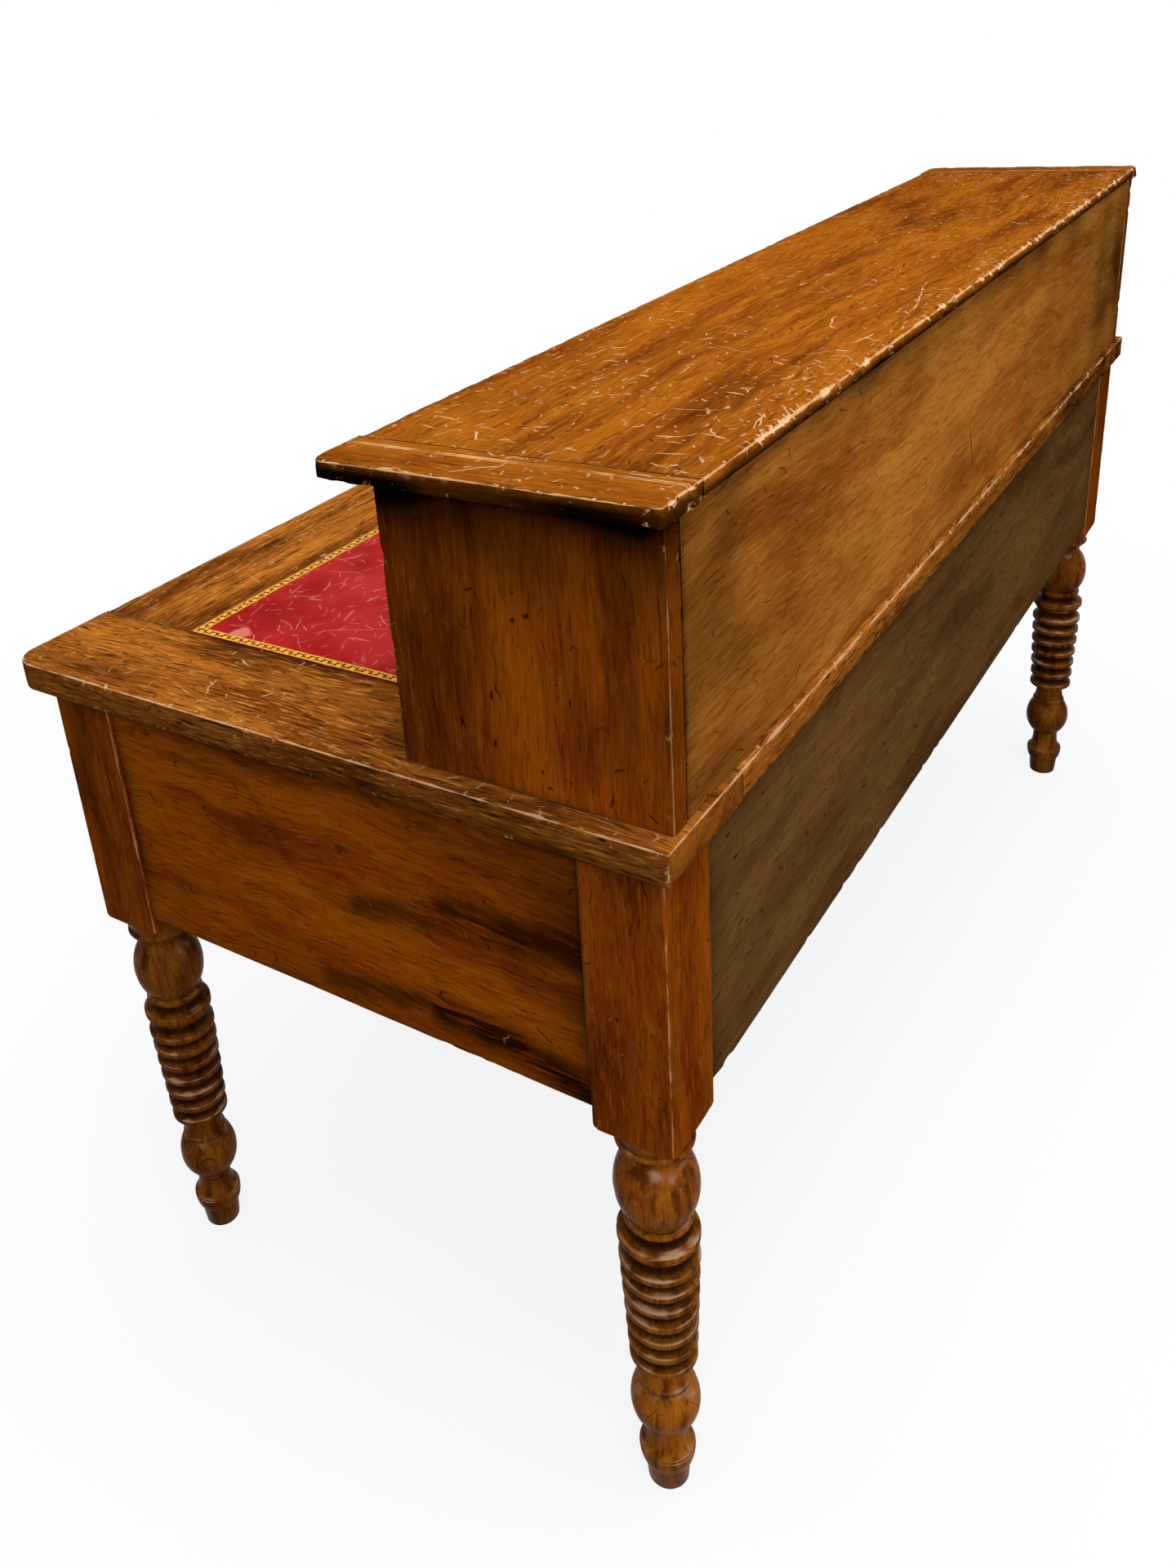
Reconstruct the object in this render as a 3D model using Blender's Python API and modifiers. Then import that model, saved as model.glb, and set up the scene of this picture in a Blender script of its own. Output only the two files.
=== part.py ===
"""Library desk: ring-turned legs, three frieze drawers over a kneehole, and a raised stationery gallery.

Metres, +Z up, floor at z = 0. X runs along the desk and the writer sits at -Y, so left is -X.
Every board is a solid of its own, joined by tongues, tenons, housings and dovetails.
"""

import math

import bmesh
import bpy
from mathutils import Vector

# Fits
FIT = 0.0003                    # gap between pieces that touch
PASS = 0.002                    # how far a cutting tool runs past the face it opens
ARRIS = 0.0012                  # softened edge of a plain board

# Desk top
WRITING_HEIGHT = 0.760
TOP_LENGTH = 1.542
TOP_DEPTH = 0.730
TOP_THICKNESS = 0.030
TOP_EDGE_ROUND = 0.005
TOP_FRONT_CORNER = 0.028        # plan radius
TOP_BACK_CORNER = 0.004         # plan radius
CLAMP_WIDTH = 0.127
FRONT_BOARD_WIDTH = 0.127
BACK_BOARD_WIDTH = 0.269
LEATHER_THICKNESS = 0.0015
TOP_TONGUE_LENGTH = 0.012
TOP_TONGUE_THICKNESS = 0.010
TONGUE_STOP = 0.020             # plain wood left where a tongue stops short of an edge

# Frame
TOP_END_OVERHANG = 0.011
TOP_FRONT_OVERHANG = 0.044
TOP_BACK_OVERHANG = 0.010
POST_WIDTH = 0.076
POST_ARRIS = 0.002
POST_DROP = 0.019               # the square post ends this far under the panels
FRIEZE_HEIGHT = 0.256
PANEL_THICKNESS = 0.022
PANEL_TONGUE_LENGTH = 0.014
PANEL_TONGUE_THICKNESS = 0.010
END_PANEL_SETBACK = 0.003
BACK_PANEL_SETBACK = 0.0015

# Leg turning, heights from the floor up to the rings, then from the square post down to them
FOOT_HEIGHT = 0.027
FOOT_FLOOR_RADIUS = 0.0190
FOOT_TOP_RADIUS = 0.0218
FOOT_RING_HEIGHT = 0.020        # a bowl, widest at its upper edge
FOOT_RING_RADIUS = 0.0270
QUIRK = 0.0012                  # groove inside the upper edge of the foot ring
ANKLE_HEIGHT = 0.031
ANKLE_STRAIGHT = 0.008          # plain neck before the ankle flares
ANKLE_RADIUS = 0.0190
LOWER_BALL_HEIGHT = 0.0585
LOWER_BALL_RADIUS = 0.0328
COLLAR_HEIGHT = 0.0055
COLLAR_RADIUS = 0.0246
COLLAR_LINE = 0.0010            # incised line round the collar
LOWER_NECK_HEIGHT = 0.0270
LOWER_NECK_STRAIGHT = 0.004     # from the lowest ring to the narrowest place
LOWER_NECK_RADIUS = 0.0200
RING_COUNT = 7
RING_LOWEST_RADIUS = 0.0316
RING_HIGHEST_RADIUS = 0.0364
RING_DEPTH = 0.0065
RING_BAND = 0.0072              # upright face under the crest of a ring
RING_LIP = 0.0020               # rounded lower edge of that face
FILLET_SPACE = 0.0065           # from the big ring down to the highest of the others
FILLET_HEIGHT = 0.0040          # thin ring that stands in that space
FILLET_RADIUS = 0.0336
BIG_RING_HEIGHT = 0.0200
BIG_RING_BAND = 0.0085
BIG_RING_RADIUS = 0.0370
BEAD_NECK_RADIUS = 0.0263
BEAD_HEIGHT = 0.0090
BEAD_RADIUS = 0.0310
BALL_FILLET_HEIGHT = 0.0010
BALL_LOW_RADIUS = 0.0281
UPPER_BALL_HEIGHT = 0.0695
UPPER_BALL_RADIUS = 0.0379
BALL_NECK_RADIUS = 0.0245       # narrowest place, over the ball
BALL_NECK_HEIGHT = 0.0135
ASTRAGAL_HEIGHT = 0.0065
ASTRAGAL_RADIUS = 0.0348
UPPER_NECK_HEIGHT = 0.0165
UPPER_NECK_LOW_RADIUS = 0.0325
UPPER_NECK_HIGH_RADIUS = 0.0368
POST_CORNER_CUT = 0.004         # lathe-cut lower corners of the square post

# How finely round shapes are drawn
LEG_SIDES = 16
KNOB_SIDES = 12
BALL_STEPS = 5
BOWL_STEPS = 3
FLARE_STEPS = 2                 # upper side of a ring
SMALL_STEPS = 3
KNOB_DOME_STEPS = 5
CORNER_SEGMENTS = (4, 1)        # front and back plan corners
EDGE_SEGMENTS = 2
ROUND_PROFILE = 0.5             # a bevel that is part of a circle

# Front framing and kneehole
KNEEHOLE_WIDTH = 0.540
PARTITION_THICKNESS = 0.024
PARTITION_TONGUE_LENGTH = 0.006
PARTITION_TONGUE_THICKNESS = 0.010
RAIL_HEIGHT = 0.022
RAIL_DEPTH = 0.050
RAIL_TENON_LENGTH = 0.010
RAIL_TENON_SHOULDER = 0.006
RUNNER_WIDTH = 0.030
RUNNER_HEIGHT = 0.018

# Drawers
CENTRE_DRAWER_OPENING = 0.085
DRAWER_GAP = 0.0015             # round a drawer front
DRAWER_SETBACK = 0.001
DRAWER_FRONT_THICKNESS = 0.020
DRAWER_SIDE_THICKNESS = 0.012
DRAWER_BACK_THICKNESS = 0.012
DRAWER_BOTTOM_THICKNESS = 0.006
DRAWER_BOTTOM_LIFT = 0.008
DRAWER_BOTTOM_GROOVE = 0.005
DRAWER_TOP_ROOM = 0.008
DRAWER_BACK_DROP = 0.005
DRAWER_BACK_ROOM = 0.045
FRONT_TAIL_LENGTH = 0.014
PIN_TIP = 0.006
TAIL_SLOPE = 1 / 6
SIDE_TAIL_COUNT = 4
CENTRE_TAIL_COUNT = 2
SIDE_KNOB_SPACING = 0.200
CENTRE_KNOB_SPACING = 0.300

# Turned knobs, lengths along the knob's own axis from the drawer front
KNOB_LENGTH = 0.030
KNOB_RADIUS = 0.0165
KNOB_HEAD_DEPTH = 0.015
KNOB_NECK_RADIUS = 0.0085
KNOB_BASE_RADIUS = 0.0115
KNOB_BASE_DEPTH = 0.004
KNOB_SPIGOT_RADIUS = 0.0060

# Gallery
GALLERY_HEIGHT = 0.240
GALLERY_DEPTH = 0.243
GALLERY_END_INSET = 0.022       # from the end of the desk top
GALLERY_BACK_INSET = 0.006      # from the back edge of the desk top
GALLERY_SIDE_THICKNESS = 0.022
GALLERY_BACK_THICKNESS = 0.012
GALLERY_BACK_SETBACK = 0.001
GALLERY_TONGUE_LENGTH = 0.006
GALLERY_TONGUE_THICKNESS = 0.006
UPRIGHT_THICKNESS = 0.012
UPRIGHT_SETBACK = 0.004
CENTRE_BAY_WIDTH = 0.700
SHELF_THICKNESS = 0.010
SHELF_HOUSING = 0.004
SHELF_RISE = 0.115              # underside of the shelf above the desk top
PIGEONHOLE_THICKNESS = 0.010
LID_THICKNESS = 0.016
LID_EDGE_ROUND = 0.005
LID_FRONT_CORNER = 0.014        # plan radius
LID_BACK_CORNER = 0.005         # plan radius
LID_CLAMP_WIDTH = 0.062
LID_END_OVERHANG = 0.012
LID_FRONT_OVERHANG = 0.051
LID_BACK_OVERHANG = 0.004
LID_TONGUE_LENGTH = 0.010
LID_TONGUE_THICKNESS = 0.005

# Places that follow from the sizes above
TOP_END = TOP_LENGTH / 2
TOP_FRONT = -TOP_DEPTH / 2
TOP_BACK = TOP_DEPTH / 2
TOP_UNDERSIDE = WRITING_HEIGHT - TOP_THICKNESS
CLAMP_INSIDE = TOP_END - CLAMP_WIDTH
LEATHER_FRONT = TOP_FRONT + FRONT_BOARD_WIDTH
LEATHER_BACK = TOP_BACK - BACK_BOARD_WIDTH
FRAME_END = TOP_END - TOP_END_OVERHANG
FRAME_FRONT = TOP_FRONT + TOP_FRONT_OVERHANG
FRAME_BACK = TOP_BACK - TOP_BACK_OVERHANG
FRAME_TOP = TOP_UNDERSIDE - FIT
POST_INSIDE = FRAME_END - POST_WIDTH
PANEL_LOW = TOP_UNDERSIDE - FRIEZE_HEIGHT
POST_LOW = PANEL_LOW - POST_DROP
BACK_PANEL_INSIDE = FRAME_BACK - BACK_PANEL_SETBACK - PANEL_THICKNESS
PARTITION_INSIDE = KNEEHOLE_WIDTH / 2
PARTITION_OUTSIDE = PARTITION_INSIDE + PARTITION_THICKNESS
TOP_RAIL_LOW = TOP_UNDERSIDE - RAIL_HEIGHT
SIDE_DRAWER_FLOOR = PANEL_LOW + RAIL_HEIGHT
CENTRE_DRAWER_FLOOR = TOP_RAIL_LOW - CENTRE_DRAWER_OPENING
RAIL_BACK = FRAME_FRONT + RAIL_DEPTH
GALLERY_END = TOP_END - GALLERY_END_INSET
GALLERY_INSIDE = GALLERY_END - GALLERY_SIDE_THICKNESS
GALLERY_BACK = TOP_BACK - GALLERY_BACK_INSET
GALLERY_FRONT = GALLERY_BACK - GALLERY_DEPTH
GALLERY_BACK_INSIDE = GALLERY_BACK - GALLERY_BACK_SETBACK - GALLERY_BACK_THICKNESS
LID_UNDERSIDE = WRITING_HEIGHT + GALLERY_HEIGHT
LID_END = GALLERY_END + LID_END_OVERHANG
LID_FRONT = GALLERY_FRONT - LID_FRONT_OVERHANG
LID_BACK = GALLERY_BACK + LID_BACK_OVERHANG
LID_CLAMP_INSIDE = LID_END - LID_CLAMP_WIDTH

HANDS = {"left": -1, "right": 1}


# Scene, collections and materials

def clear_scene():
    """Remove every object that the file opened with."""
    for old in list(bpy.data.objects):
        bpy.data.objects.remove(old, do_unlink=True)


def collection(name):
    """Make a collection in the scene."""
    made = bpy.data.collections.new(name)
    bpy.context.scene.collection.children.link(made)
    return made


def finish(name, colour, roughness):
    """Make one material from a base colour and a roughness."""
    made = bpy.data.materials.new(name)
    made.use_nodes = True
    shader = made.node_tree.nodes["Principled BSDF"]
    shader.inputs["Base Color"].default_value = (*colour, 1.0)
    shader.inputs["Roughness"].default_value = roughness
    shader.inputs["Metallic"].default_value = 0.0
    made.diffuse_color = (*colour, 1.0)
    return made


clear_scene()
DESK = collection("library_desk")
TOOLS = collection("cutters")

TURNED_WOOD = finish("turned_leg_wood", (0.150, 0.055, 0.016), 0.32)
PANEL_WOOD = finish("panel_wood", (0.165, 0.068, 0.018), 0.38)
BACK_WOOD = finish("back_panel_wood", (0.105, 0.050, 0.018), 0.48)
TOP_WOOD = finish("desk_top_wood", (0.190, 0.080, 0.022), 0.30)
LEATHER = finish("writing_leather", (0.280, 0.012, 0.014), 0.42)
GALLERY_WOOD = finish("gallery_wood", (0.180, 0.075, 0.020), 0.36)
LID_WOOD = finish("lid_wood", (0.200, 0.080, 0.018), 0.30)
FRONT_WOOD = finish("drawer_front_wood", (0.165, 0.062, 0.018), 0.34)
LINING_WOOD = finish("drawer_lining_wood", (0.300, 0.165, 0.070), 0.60)
KNOB_WOOD = finish("knob_wood", (0.090, 0.032, 0.012), 0.28)


# Modelling helpers

def block(x, y, z):
    """Low and high corners of a box from three pairs of places, given in any order."""
    pairs = (x, y, z)
    low = Vector([min(pair) for pair in pairs])
    high = Vector([max(pair) for pair in pairs])
    return low, high


def grown(space, by):
    """The same box, larger all round."""
    low, high = space
    margin = Vector((by, by, by))
    return low - margin, high + margin


def cube(space):
    """A bmesh box that fills a space, in world coordinates."""
    low, high = space
    bm = bmesh.new()
    bmesh.ops.create_cube(bm, size=1.0)
    bmesh.ops.scale(bm, vec=high - low, verts=bm.verts)
    bmesh.ops.translate(bm, vec=(low + high) / 2, verts=bm.verts)
    return bm


def put(name, bm, place, material, carrier=None):
    """Make a named sub-part from a bmesh in world coordinates, with its origin at a place."""
    place = Vector(place)
    bmesh.ops.translate(bm, vec=-place, verts=bm.verts)
    mesh = bpy.data.meshes.new(name)
    bm.to_mesh(mesh)
    bm.free()
    mesh.materials.append(material)
    piece = bpy.data.objects.new(name, mesh)
    DESK.objects.link(piece)
    piece.location = place
    if carrier:
        piece.parent = carrier
        piece.location = place - carrier.location
    return piece


def middle(space):
    """Centre of a box."""
    low, high = space
    return (low + high) / 2


def board(name, space, material, arris=ARRIS, carrier=None):
    """A plain board with softened edges."""
    piece = put(name, cube(space), middle(space), material, carrier)
    if arris:
        soft = piece.modifiers.new("arris", "BEVEL")
        soft.width = arris
        soft.segments = 1
        soft.limit_method = "NONE"
    return piece


def tool(name, bm):
    """A hidden mesh in world coordinates that cuts or joins."""
    mesh = bpy.data.meshes.new(name)
    bm.to_mesh(mesh)
    bm.free()
    made = bpy.data.objects.new(name, mesh)
    TOOLS.objects.link(made)
    made.hide_render = True
    made.display_type = "WIRE"
    return made


def combine(piece, other, operation):
    """Add an exact Boolean to a piece."""
    modifier = piece.modifiers.new(operation.lower(), "BOOLEAN")
    modifier.operation = operation
    modifier.solver = "EXACT"
    modifier.object = other


def tongue(piece, space, *grooved):
    """Fuse a tongue to a piece, and cut its groove, one fit larger, in each piece that takes it."""
    combine(piece, tool(piece.name + "_tongue", cube(space)), "UNION")
    groove = tool(piece.name + "_groove", cube(grown(space, FIT)))
    for other in grooved:
        combine(other, groove, "DIFFERENCE")


def round_edges(bm, edges, radius, segments):
    """Round some edges of a bmesh."""
    bmesh.ops.bevel(bm, geom=edges, offset=radius, segments=segments, profile=ROUND_PROFILE, affect="EDGES")


def near(value, target):
    """True where two coordinates are the same place."""
    return abs(value - target) < FIT / 10


# Turned shapes: every profile runs from the top down on the outer side

def half_round(high, low, root, crest, steps):
    """Points of a bead that springs from a root radius, without its first point."""
    centre = (high + low) / 2
    half = (high - low) / 2
    angles = [math.pi / 2 - math.pi * step / steps for step in range(1, steps + 1)]
    return [(root + (crest - root) * math.cos(a), centre + half * math.sin(a)) for a in angles]


def ball(high, low, high_radius, low_radius, crest):
    """Points of a ball cut off above and below at two radii, both ends included."""
    top = math.acos(high_radius / crest)
    bottom = -math.acos(low_radius / crest)
    stretch = (high - low) / (math.sin(top) - math.sin(bottom))
    centre = high - stretch * math.sin(top)
    angles = [top + (bottom - top) * step / BALL_STEPS for step in range(BALL_STEPS + 1)]
    return [(crest * math.cos(a), centre + stretch * math.sin(a)) for a in angles]


def cove(high, low, high_radius, low_radius, steps=SMALL_STEPS):
    """Points of a hollow that flares out on its way down, both ends included."""
    angles = [math.pi / 2 * step / steps for step in range(steps + 1)]
    flare = low_radius - high_radius
    return [(high_radius + flare * (1 - math.cos(a)), high - (high - low) * math.sin(a)) for a in angles]


def saucer(high, low, root, crest, band):
    """Points of a ring that flares out to a sharp crest over an upright band, without its first point."""
    flare = cove(high, low + band, root, crest, FLARE_STEPS)
    return [*flare[1:], (crest, low + RING_LIP), (root, low)]


def bowl(high, low, high_radius, low_radius):
    """Points of a round that draws in on its way down, both ends included."""
    angles = [math.pi / 2 * step / BOWL_STEPS for step in range(BOWL_STEPS + 1)]
    rim = high_radius - low_radius
    return [(low_radius + rim * math.cos(a), high - (high - low) * math.sin(a)) for a in angles]


def turn(piece, sides):
    """Spin a profile mesh round its own Z axis."""
    screw = piece.modifiers.new("turning", "SCREW")
    screw.axis = "Z"
    screw.steps = sides
    screw.render_steps = sides
    screw.use_merge_vertices = True
    screw.merge_threshold = 0.00001
    screw.use_smooth_shade = True


def profile_mesh(points):
    """A bmesh chain of edges through radius and height pairs, closed on the axis at both ends."""
    bm = bmesh.new()
    chain = [(0.0, points[0][1]), *points, (0.0, points[-1][1])]
    verts = [bm.verts.new((radius, 0.0, height)) for radius, height in chain]
    for upper, lower in zip(verts, verts[1:]):
        bm.edges.new((upper, lower))
    return bm


def leg_profile():
    """Radius and height pairs of a whole leg: a wide blank above, then the turning down to the floor."""
    foot_ring_low = FOOT_HEIGHT
    ankle_low = foot_ring_low + FOOT_RING_HEIGHT
    lower_ball_low = ankle_low + ANKLE_HEIGHT
    collar_low = lower_ball_low + LOWER_BALL_HEIGHT
    lower_neck_low = collar_low + COLLAR_HEIGHT
    rings_low = lower_neck_low + LOWER_NECK_HEIGHT
    astragal_high = POST_LOW - UPPER_NECK_HEIGHT
    astragal_low = astragal_high - ASTRAGAL_HEIGHT
    upper_ball_high = astragal_low - BALL_NECK_HEIGHT
    upper_ball_low = upper_ball_high - UPPER_BALL_HEIGHT
    bead_high = upper_ball_low - BALL_FILLET_HEIGHT
    bead_low = bead_high - BEAD_HEIGHT
    big_ring_low = bead_low - BIG_RING_HEIGHT
    fillet_high = big_ring_low - (FILLET_SPACE - FILLET_HEIGHT) / 2
    rings_high = big_ring_low - FILLET_SPACE
    pitch = (rings_high - rings_low) / RING_COUNT
    taper = (RING_HIGHEST_RADIUS - RING_LOWEST_RADIUS) / (RING_COUNT - 1)

    corner = POST_WIDTH / math.sqrt(2)
    points = [(POST_WIDTH, FRAME_TOP), (POST_WIDTH, POST_LOW + POST_CORNER_CUT + POST_WIDTH - corner)]
    points += [(corner - POST_CORNER_CUT, POST_LOW)]
    points += [(UPPER_NECK_HIGH_RADIUS, POST_LOW), (UPPER_NECK_LOW_RADIUS, astragal_high)]
    points += half_round(astragal_high, astragal_low, UPPER_NECK_LOW_RADIUS, ASTRAGAL_RADIUS, SMALL_STEPS)
    points += ball(upper_ball_high, upper_ball_low, BALL_NECK_RADIUS, BALL_LOW_RADIUS, UPPER_BALL_RADIUS)
    points += [(BEAD_NECK_RADIUS, bead_high)]
    points += half_round(bead_high, bead_low, BEAD_NECK_RADIUS, BEAD_RADIUS, SMALL_STEPS)[:-1]
    points += [(BEAD_NECK_RADIUS, bead_low)]
    points += saucer(bead_low, big_ring_low, BEAD_NECK_RADIUS, BIG_RING_RADIUS, BIG_RING_BAND)
    root = RING_HIGHEST_RADIUS - RING_DEPTH
    points += [(root, fillet_high)]
    points += half_round(fillet_high, fillet_high - FILLET_HEIGHT, root, FILLET_RADIUS, SMALL_STEPS)
    points += [(root, rings_high)]
    for ring in range(RING_COUNT):
        high = rings_high - ring * pitch
        crest = RING_HIGHEST_RADIUS - ring * taper
        points += saucer(high, high - pitch, crest - RING_DEPTH, crest, RING_BAND)
    points += cove(rings_low - LOWER_NECK_STRAIGHT, lower_neck_low, LOWER_NECK_RADIUS, COLLAR_RADIUS)
    points += [(COLLAR_RADIUS, collar_low + COLLAR_LINE)]
    points += [(COLLAR_RADIUS - COLLAR_LINE, collar_low + COLLAR_LINE / 2)]
    points += ball(collar_low, lower_ball_low, COLLAR_RADIUS, ANKLE_RADIUS, LOWER_BALL_RADIUS)
    quirk_radius = FOOT_RING_RADIUS - QUIRK
    points += cove(lower_ball_low - ANKLE_STRAIGHT, ankle_low + QUIRK, ANKLE_RADIUS, quirk_radius)
    points += [(quirk_radius - QUIRK / 2, ankle_low + QUIRK / 2)]
    points += bowl(ankle_low, foot_ring_low, FOOT_RING_RADIUS, FOOT_TOP_RADIUS)
    points += [(FOOT_FLOOR_RADIUS, 0.0)]
    return points


def leg(name, hand, inner_y, outer_y):
    """A leg: a square blank met by the turned outline, so the post stays square above the neck."""
    x = hand * (FRAME_END - POST_WIDTH / 2)
    y = (inner_y + outer_y) / 2
    bm = profile_mesh(leg_profile())
    bmesh.ops.translate(bm, vec=(x, y, 0.0), verts=bm.verts)
    piece = put(name, bm, (x, y, 0.0), TURNED_WOOD)
    turn(piece, LEG_SIDES)
    blank = block((hand * POST_INSIDE, hand * FRAME_END), (inner_y, outer_y), (-PASS, FRAME_TOP + PASS))
    square = cube(blank)
    uprights = [e for e in square.edges if not near(e.verts[0].co.z, e.verts[1].co.z)]
    round_edges(square, uprights, POST_ARRIS, 1)
    combine(piece, tool(name + "_blank", square), "INTERSECT")
    return piece


# Frame

def end_panel(name, hand, legs):
    """An end panel tongued into a front and a back post."""
    outer = FRAME_END - END_PANEL_SETBACK
    inner = outer - PANEL_THICKNESS
    front = FRAME_FRONT + POST_WIDTH + FIT
    back = FRAME_BACK - POST_WIDTH - FIT
    face = block((hand * inner, hand * outer), (front, back), (PANEL_LOW, FRAME_TOP))
    piece = board(name, face, PANEL_WOOD)
    half = PANEL_TONGUE_THICKNESS / 2
    centre = hand * (inner + outer) / 2
    reach = PANEL_TONGUE_LENGTH
    space = block((centre - half, centre + half), (front - reach, back + reach),
                  (PANEL_LOW + TONGUE_STOP, FRAME_TOP - TONGUE_STOP))
    tongue(piece, space, *legs)
    return piece


def back_panel(legs):
    """The back panel tongued into both back posts."""
    outer = FRAME_BACK - BACK_PANEL_SETBACK
    end = POST_INSIDE - FIT
    face = block((-end, end), (BACK_PANEL_INSIDE, outer), (PANEL_LOW, FRAME_TOP))
    piece = board("back_panel", face, BACK_WOOD)
    half = PANEL_TONGUE_THICKNESS / 2
    centre = (BACK_PANEL_INSIDE + outer) / 2
    reach = end + PANEL_TONGUE_LENGTH
    space = block((-reach, reach), (centre - half, centre + half),
                  (PANEL_LOW + TONGUE_STOP, FRAME_TOP - TONGUE_STOP))
    tongue(piece, space, *legs)
    return piece


def front_rail(name, x_low, x_high, z_low, z_high, *mortised):
    """A rail across the front with a stub tenon at both ends."""
    space = block((x_low + FIT, x_high - FIT), (FRAME_FRONT, RAIL_BACK), (z_low, z_high))
    piece = board(name, space, FRONT_WOOD)
    reach = RAIL_TENON_LENGTH
    inset = RAIL_TENON_SHOULDER
    tenon = block((x_low - reach, x_high + reach), (FRAME_FRONT + inset, RAIL_BACK - inset),
                  (z_low + inset, z_high - inset))
    tongue(piece, tenon, *mortised)
    return piece


def partition(name, hand, back):
    """A kneehole partition, housed in the back panel; its front edge shows between two drawers."""
    inner = hand * PARTITION_INSIDE
    outer = hand * PARTITION_OUTSIDE
    rear = BACK_PANEL_INSIDE - FIT
    piece = board(name, block((inner, outer), (FRAME_FRONT, rear), (PANEL_LOW, FRAME_TOP)), FRONT_WOOD)
    half = PARTITION_TONGUE_THICKNESS / 2
    centre = (inner + outer) / 2
    space = block((centre - half, centre + half), (rear - PASS, rear + PARTITION_TONGUE_LENGTH),
                  (PANEL_LOW + TONGUE_STOP, FRAME_TOP - TONGUE_STOP))
    tongue(piece, space, back)
    notch = block((inner - hand * PASS, outer + hand * PASS), (FRAME_FRONT - PASS, RAIL_BACK + FIT),
                  (TOP_RAIL_LOW - FIT, FRAME_TOP + PASS))
    combine(piece, tool(name + "_notch", cube(notch)), "DIFFERENCE")
    return piece


def runner(name, x_wall, direction, floor):
    """A drawer runner beside a wall, level with the rail in front of it."""
    near_side = x_wall + direction * FIT
    far_side = near_side + direction * RUNNER_WIDTH
    y_pair = (RAIL_BACK + FIT, BACK_PANEL_INSIDE - FIT)
    space = block((near_side, far_side), y_pair, (floor - RUNNER_HEIGHT, floor))
    return board(name, space, LINING_WOOD, arris=0.0)


# Desk top and lid share one construction: boards between two end clamps

def clamp(name, hand, x_inside, x_end, y_pair, z_pair, corners, edge_round, material):
    """An end clamp, with rounded plan corners and rounded outer edges."""
    space = block((hand * x_inside, hand * x_end), y_pair, z_pair)
    bm = cube(space)
    for y, radius, segments in zip(y_pair, corners, CORNER_SEGMENTS):
        upright = [e for e in bm.edges
                   if all(near(v.co.x, hand * x_end) and near(v.co.y, y) for v in e.verts)]
        round_edges(bm, upright, radius, segments)
    outline = [e for e in bm.edges
               if near(e.verts[0].co.z, e.verts[1].co.z)
               and not all(near(v.co.x, hand * x_inside) for v in e.verts)]
    round_edges(bm, outline, edge_round, EDGE_SEGMENTS)
    return put(name, bm, middle(space), material)


def edge_board(name, x_half, y_pair, z_pair, rounded, edge_round, material):
    """A long board between the clamps, rounded along the outer edges that are named by their y."""
    space = block((-x_half, x_half), y_pair, z_pair)
    bm = cube(space)
    for y in rounded:
        outline = [e for e in bm.edges
                   if near(e.verts[0].co.z, e.verts[1].co.z) and all(near(v.co.y, y) for v in e.verts)]
        round_edges(bm, outline, edge_round, EDGE_SEGMENTS)
    return put(name, bm, middle(space), material)


def cross_tongue(piece, x_half, length, thickness, y_pair, z_centre, clamps):
    """A tongue at both ends of a board, housed in the two clamps."""
    reach = x_half + length
    half = thickness / 2
    space = block((-reach, reach), y_pair, (z_centre - half, z_centre + half))
    tongue(piece, space, *clamps)


def desk_top():
    """Two clamps, a front and a back board, and the centre board that carries the leather."""
    z_pair = (TOP_UNDERSIDE, WRITING_HEIGHT)
    corners = (TOP_FRONT_CORNER, TOP_BACK_CORNER)
    clamps = [clamp(f"top_clamp_{word}", hand, CLAMP_INSIDE, TOP_END, (TOP_FRONT, TOP_BACK), z_pair,
                    corners, TOP_EDGE_ROUND, TOP_WOOD)
              for word, hand in HANDS.items()]
    x_half = CLAMP_INSIDE - FIT
    ground = WRITING_HEIGHT - LEATHER_THICKNESS - FIT
    centre_pair = (LEATHER_FRONT + FIT, LEATHER_BACK - FIT)
    front = edge_board("top_front_board", x_half, (TOP_FRONT, LEATHER_FRONT), z_pair,
                       (TOP_FRONT,), TOP_EDGE_ROUND, TOP_WOOD)
    back = edge_board("top_back_board", x_half, (LEATHER_BACK, TOP_BACK), z_pair,
                      (TOP_BACK,), TOP_EDGE_ROUND, TOP_WOOD)
    centre = edge_board("top_centre_board", x_half, centre_pair, (TOP_UNDERSIDE, ground), (), 0.0, TOP_WOOD)
    z_centre = TOP_UNDERSIDE + TOP_THICKNESS / 2
    runs = ((front, (TOP_FRONT + TONGUE_STOP, LEATHER_FRONT - TONGUE_STOP)),
            (centre, (LEATHER_FRONT + TONGUE_STOP, LEATHER_BACK - TONGUE_STOP)),
            (back, (LEATHER_BACK + TONGUE_STOP, TOP_BACK - TONGUE_STOP)))
    for piece, y_pair in runs:
        cross_tongue(piece, x_half, TOP_TONGUE_LENGTH, TOP_TONGUE_THICKNESS, y_pair, z_centre, clamps)
    leather_space = block((-x_half, x_half), centre_pair, (ground + FIT, WRITING_HEIGHT))
    board("writing_leather", leather_space, LEATHER, arris=0.0)


# Drawers

def pin_half(depth):
    """Half the width of a dovetail pin at a depth from the tip of the tails."""
    return PIN_TIP / 2 + depth * TAIL_SLOPE


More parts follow.
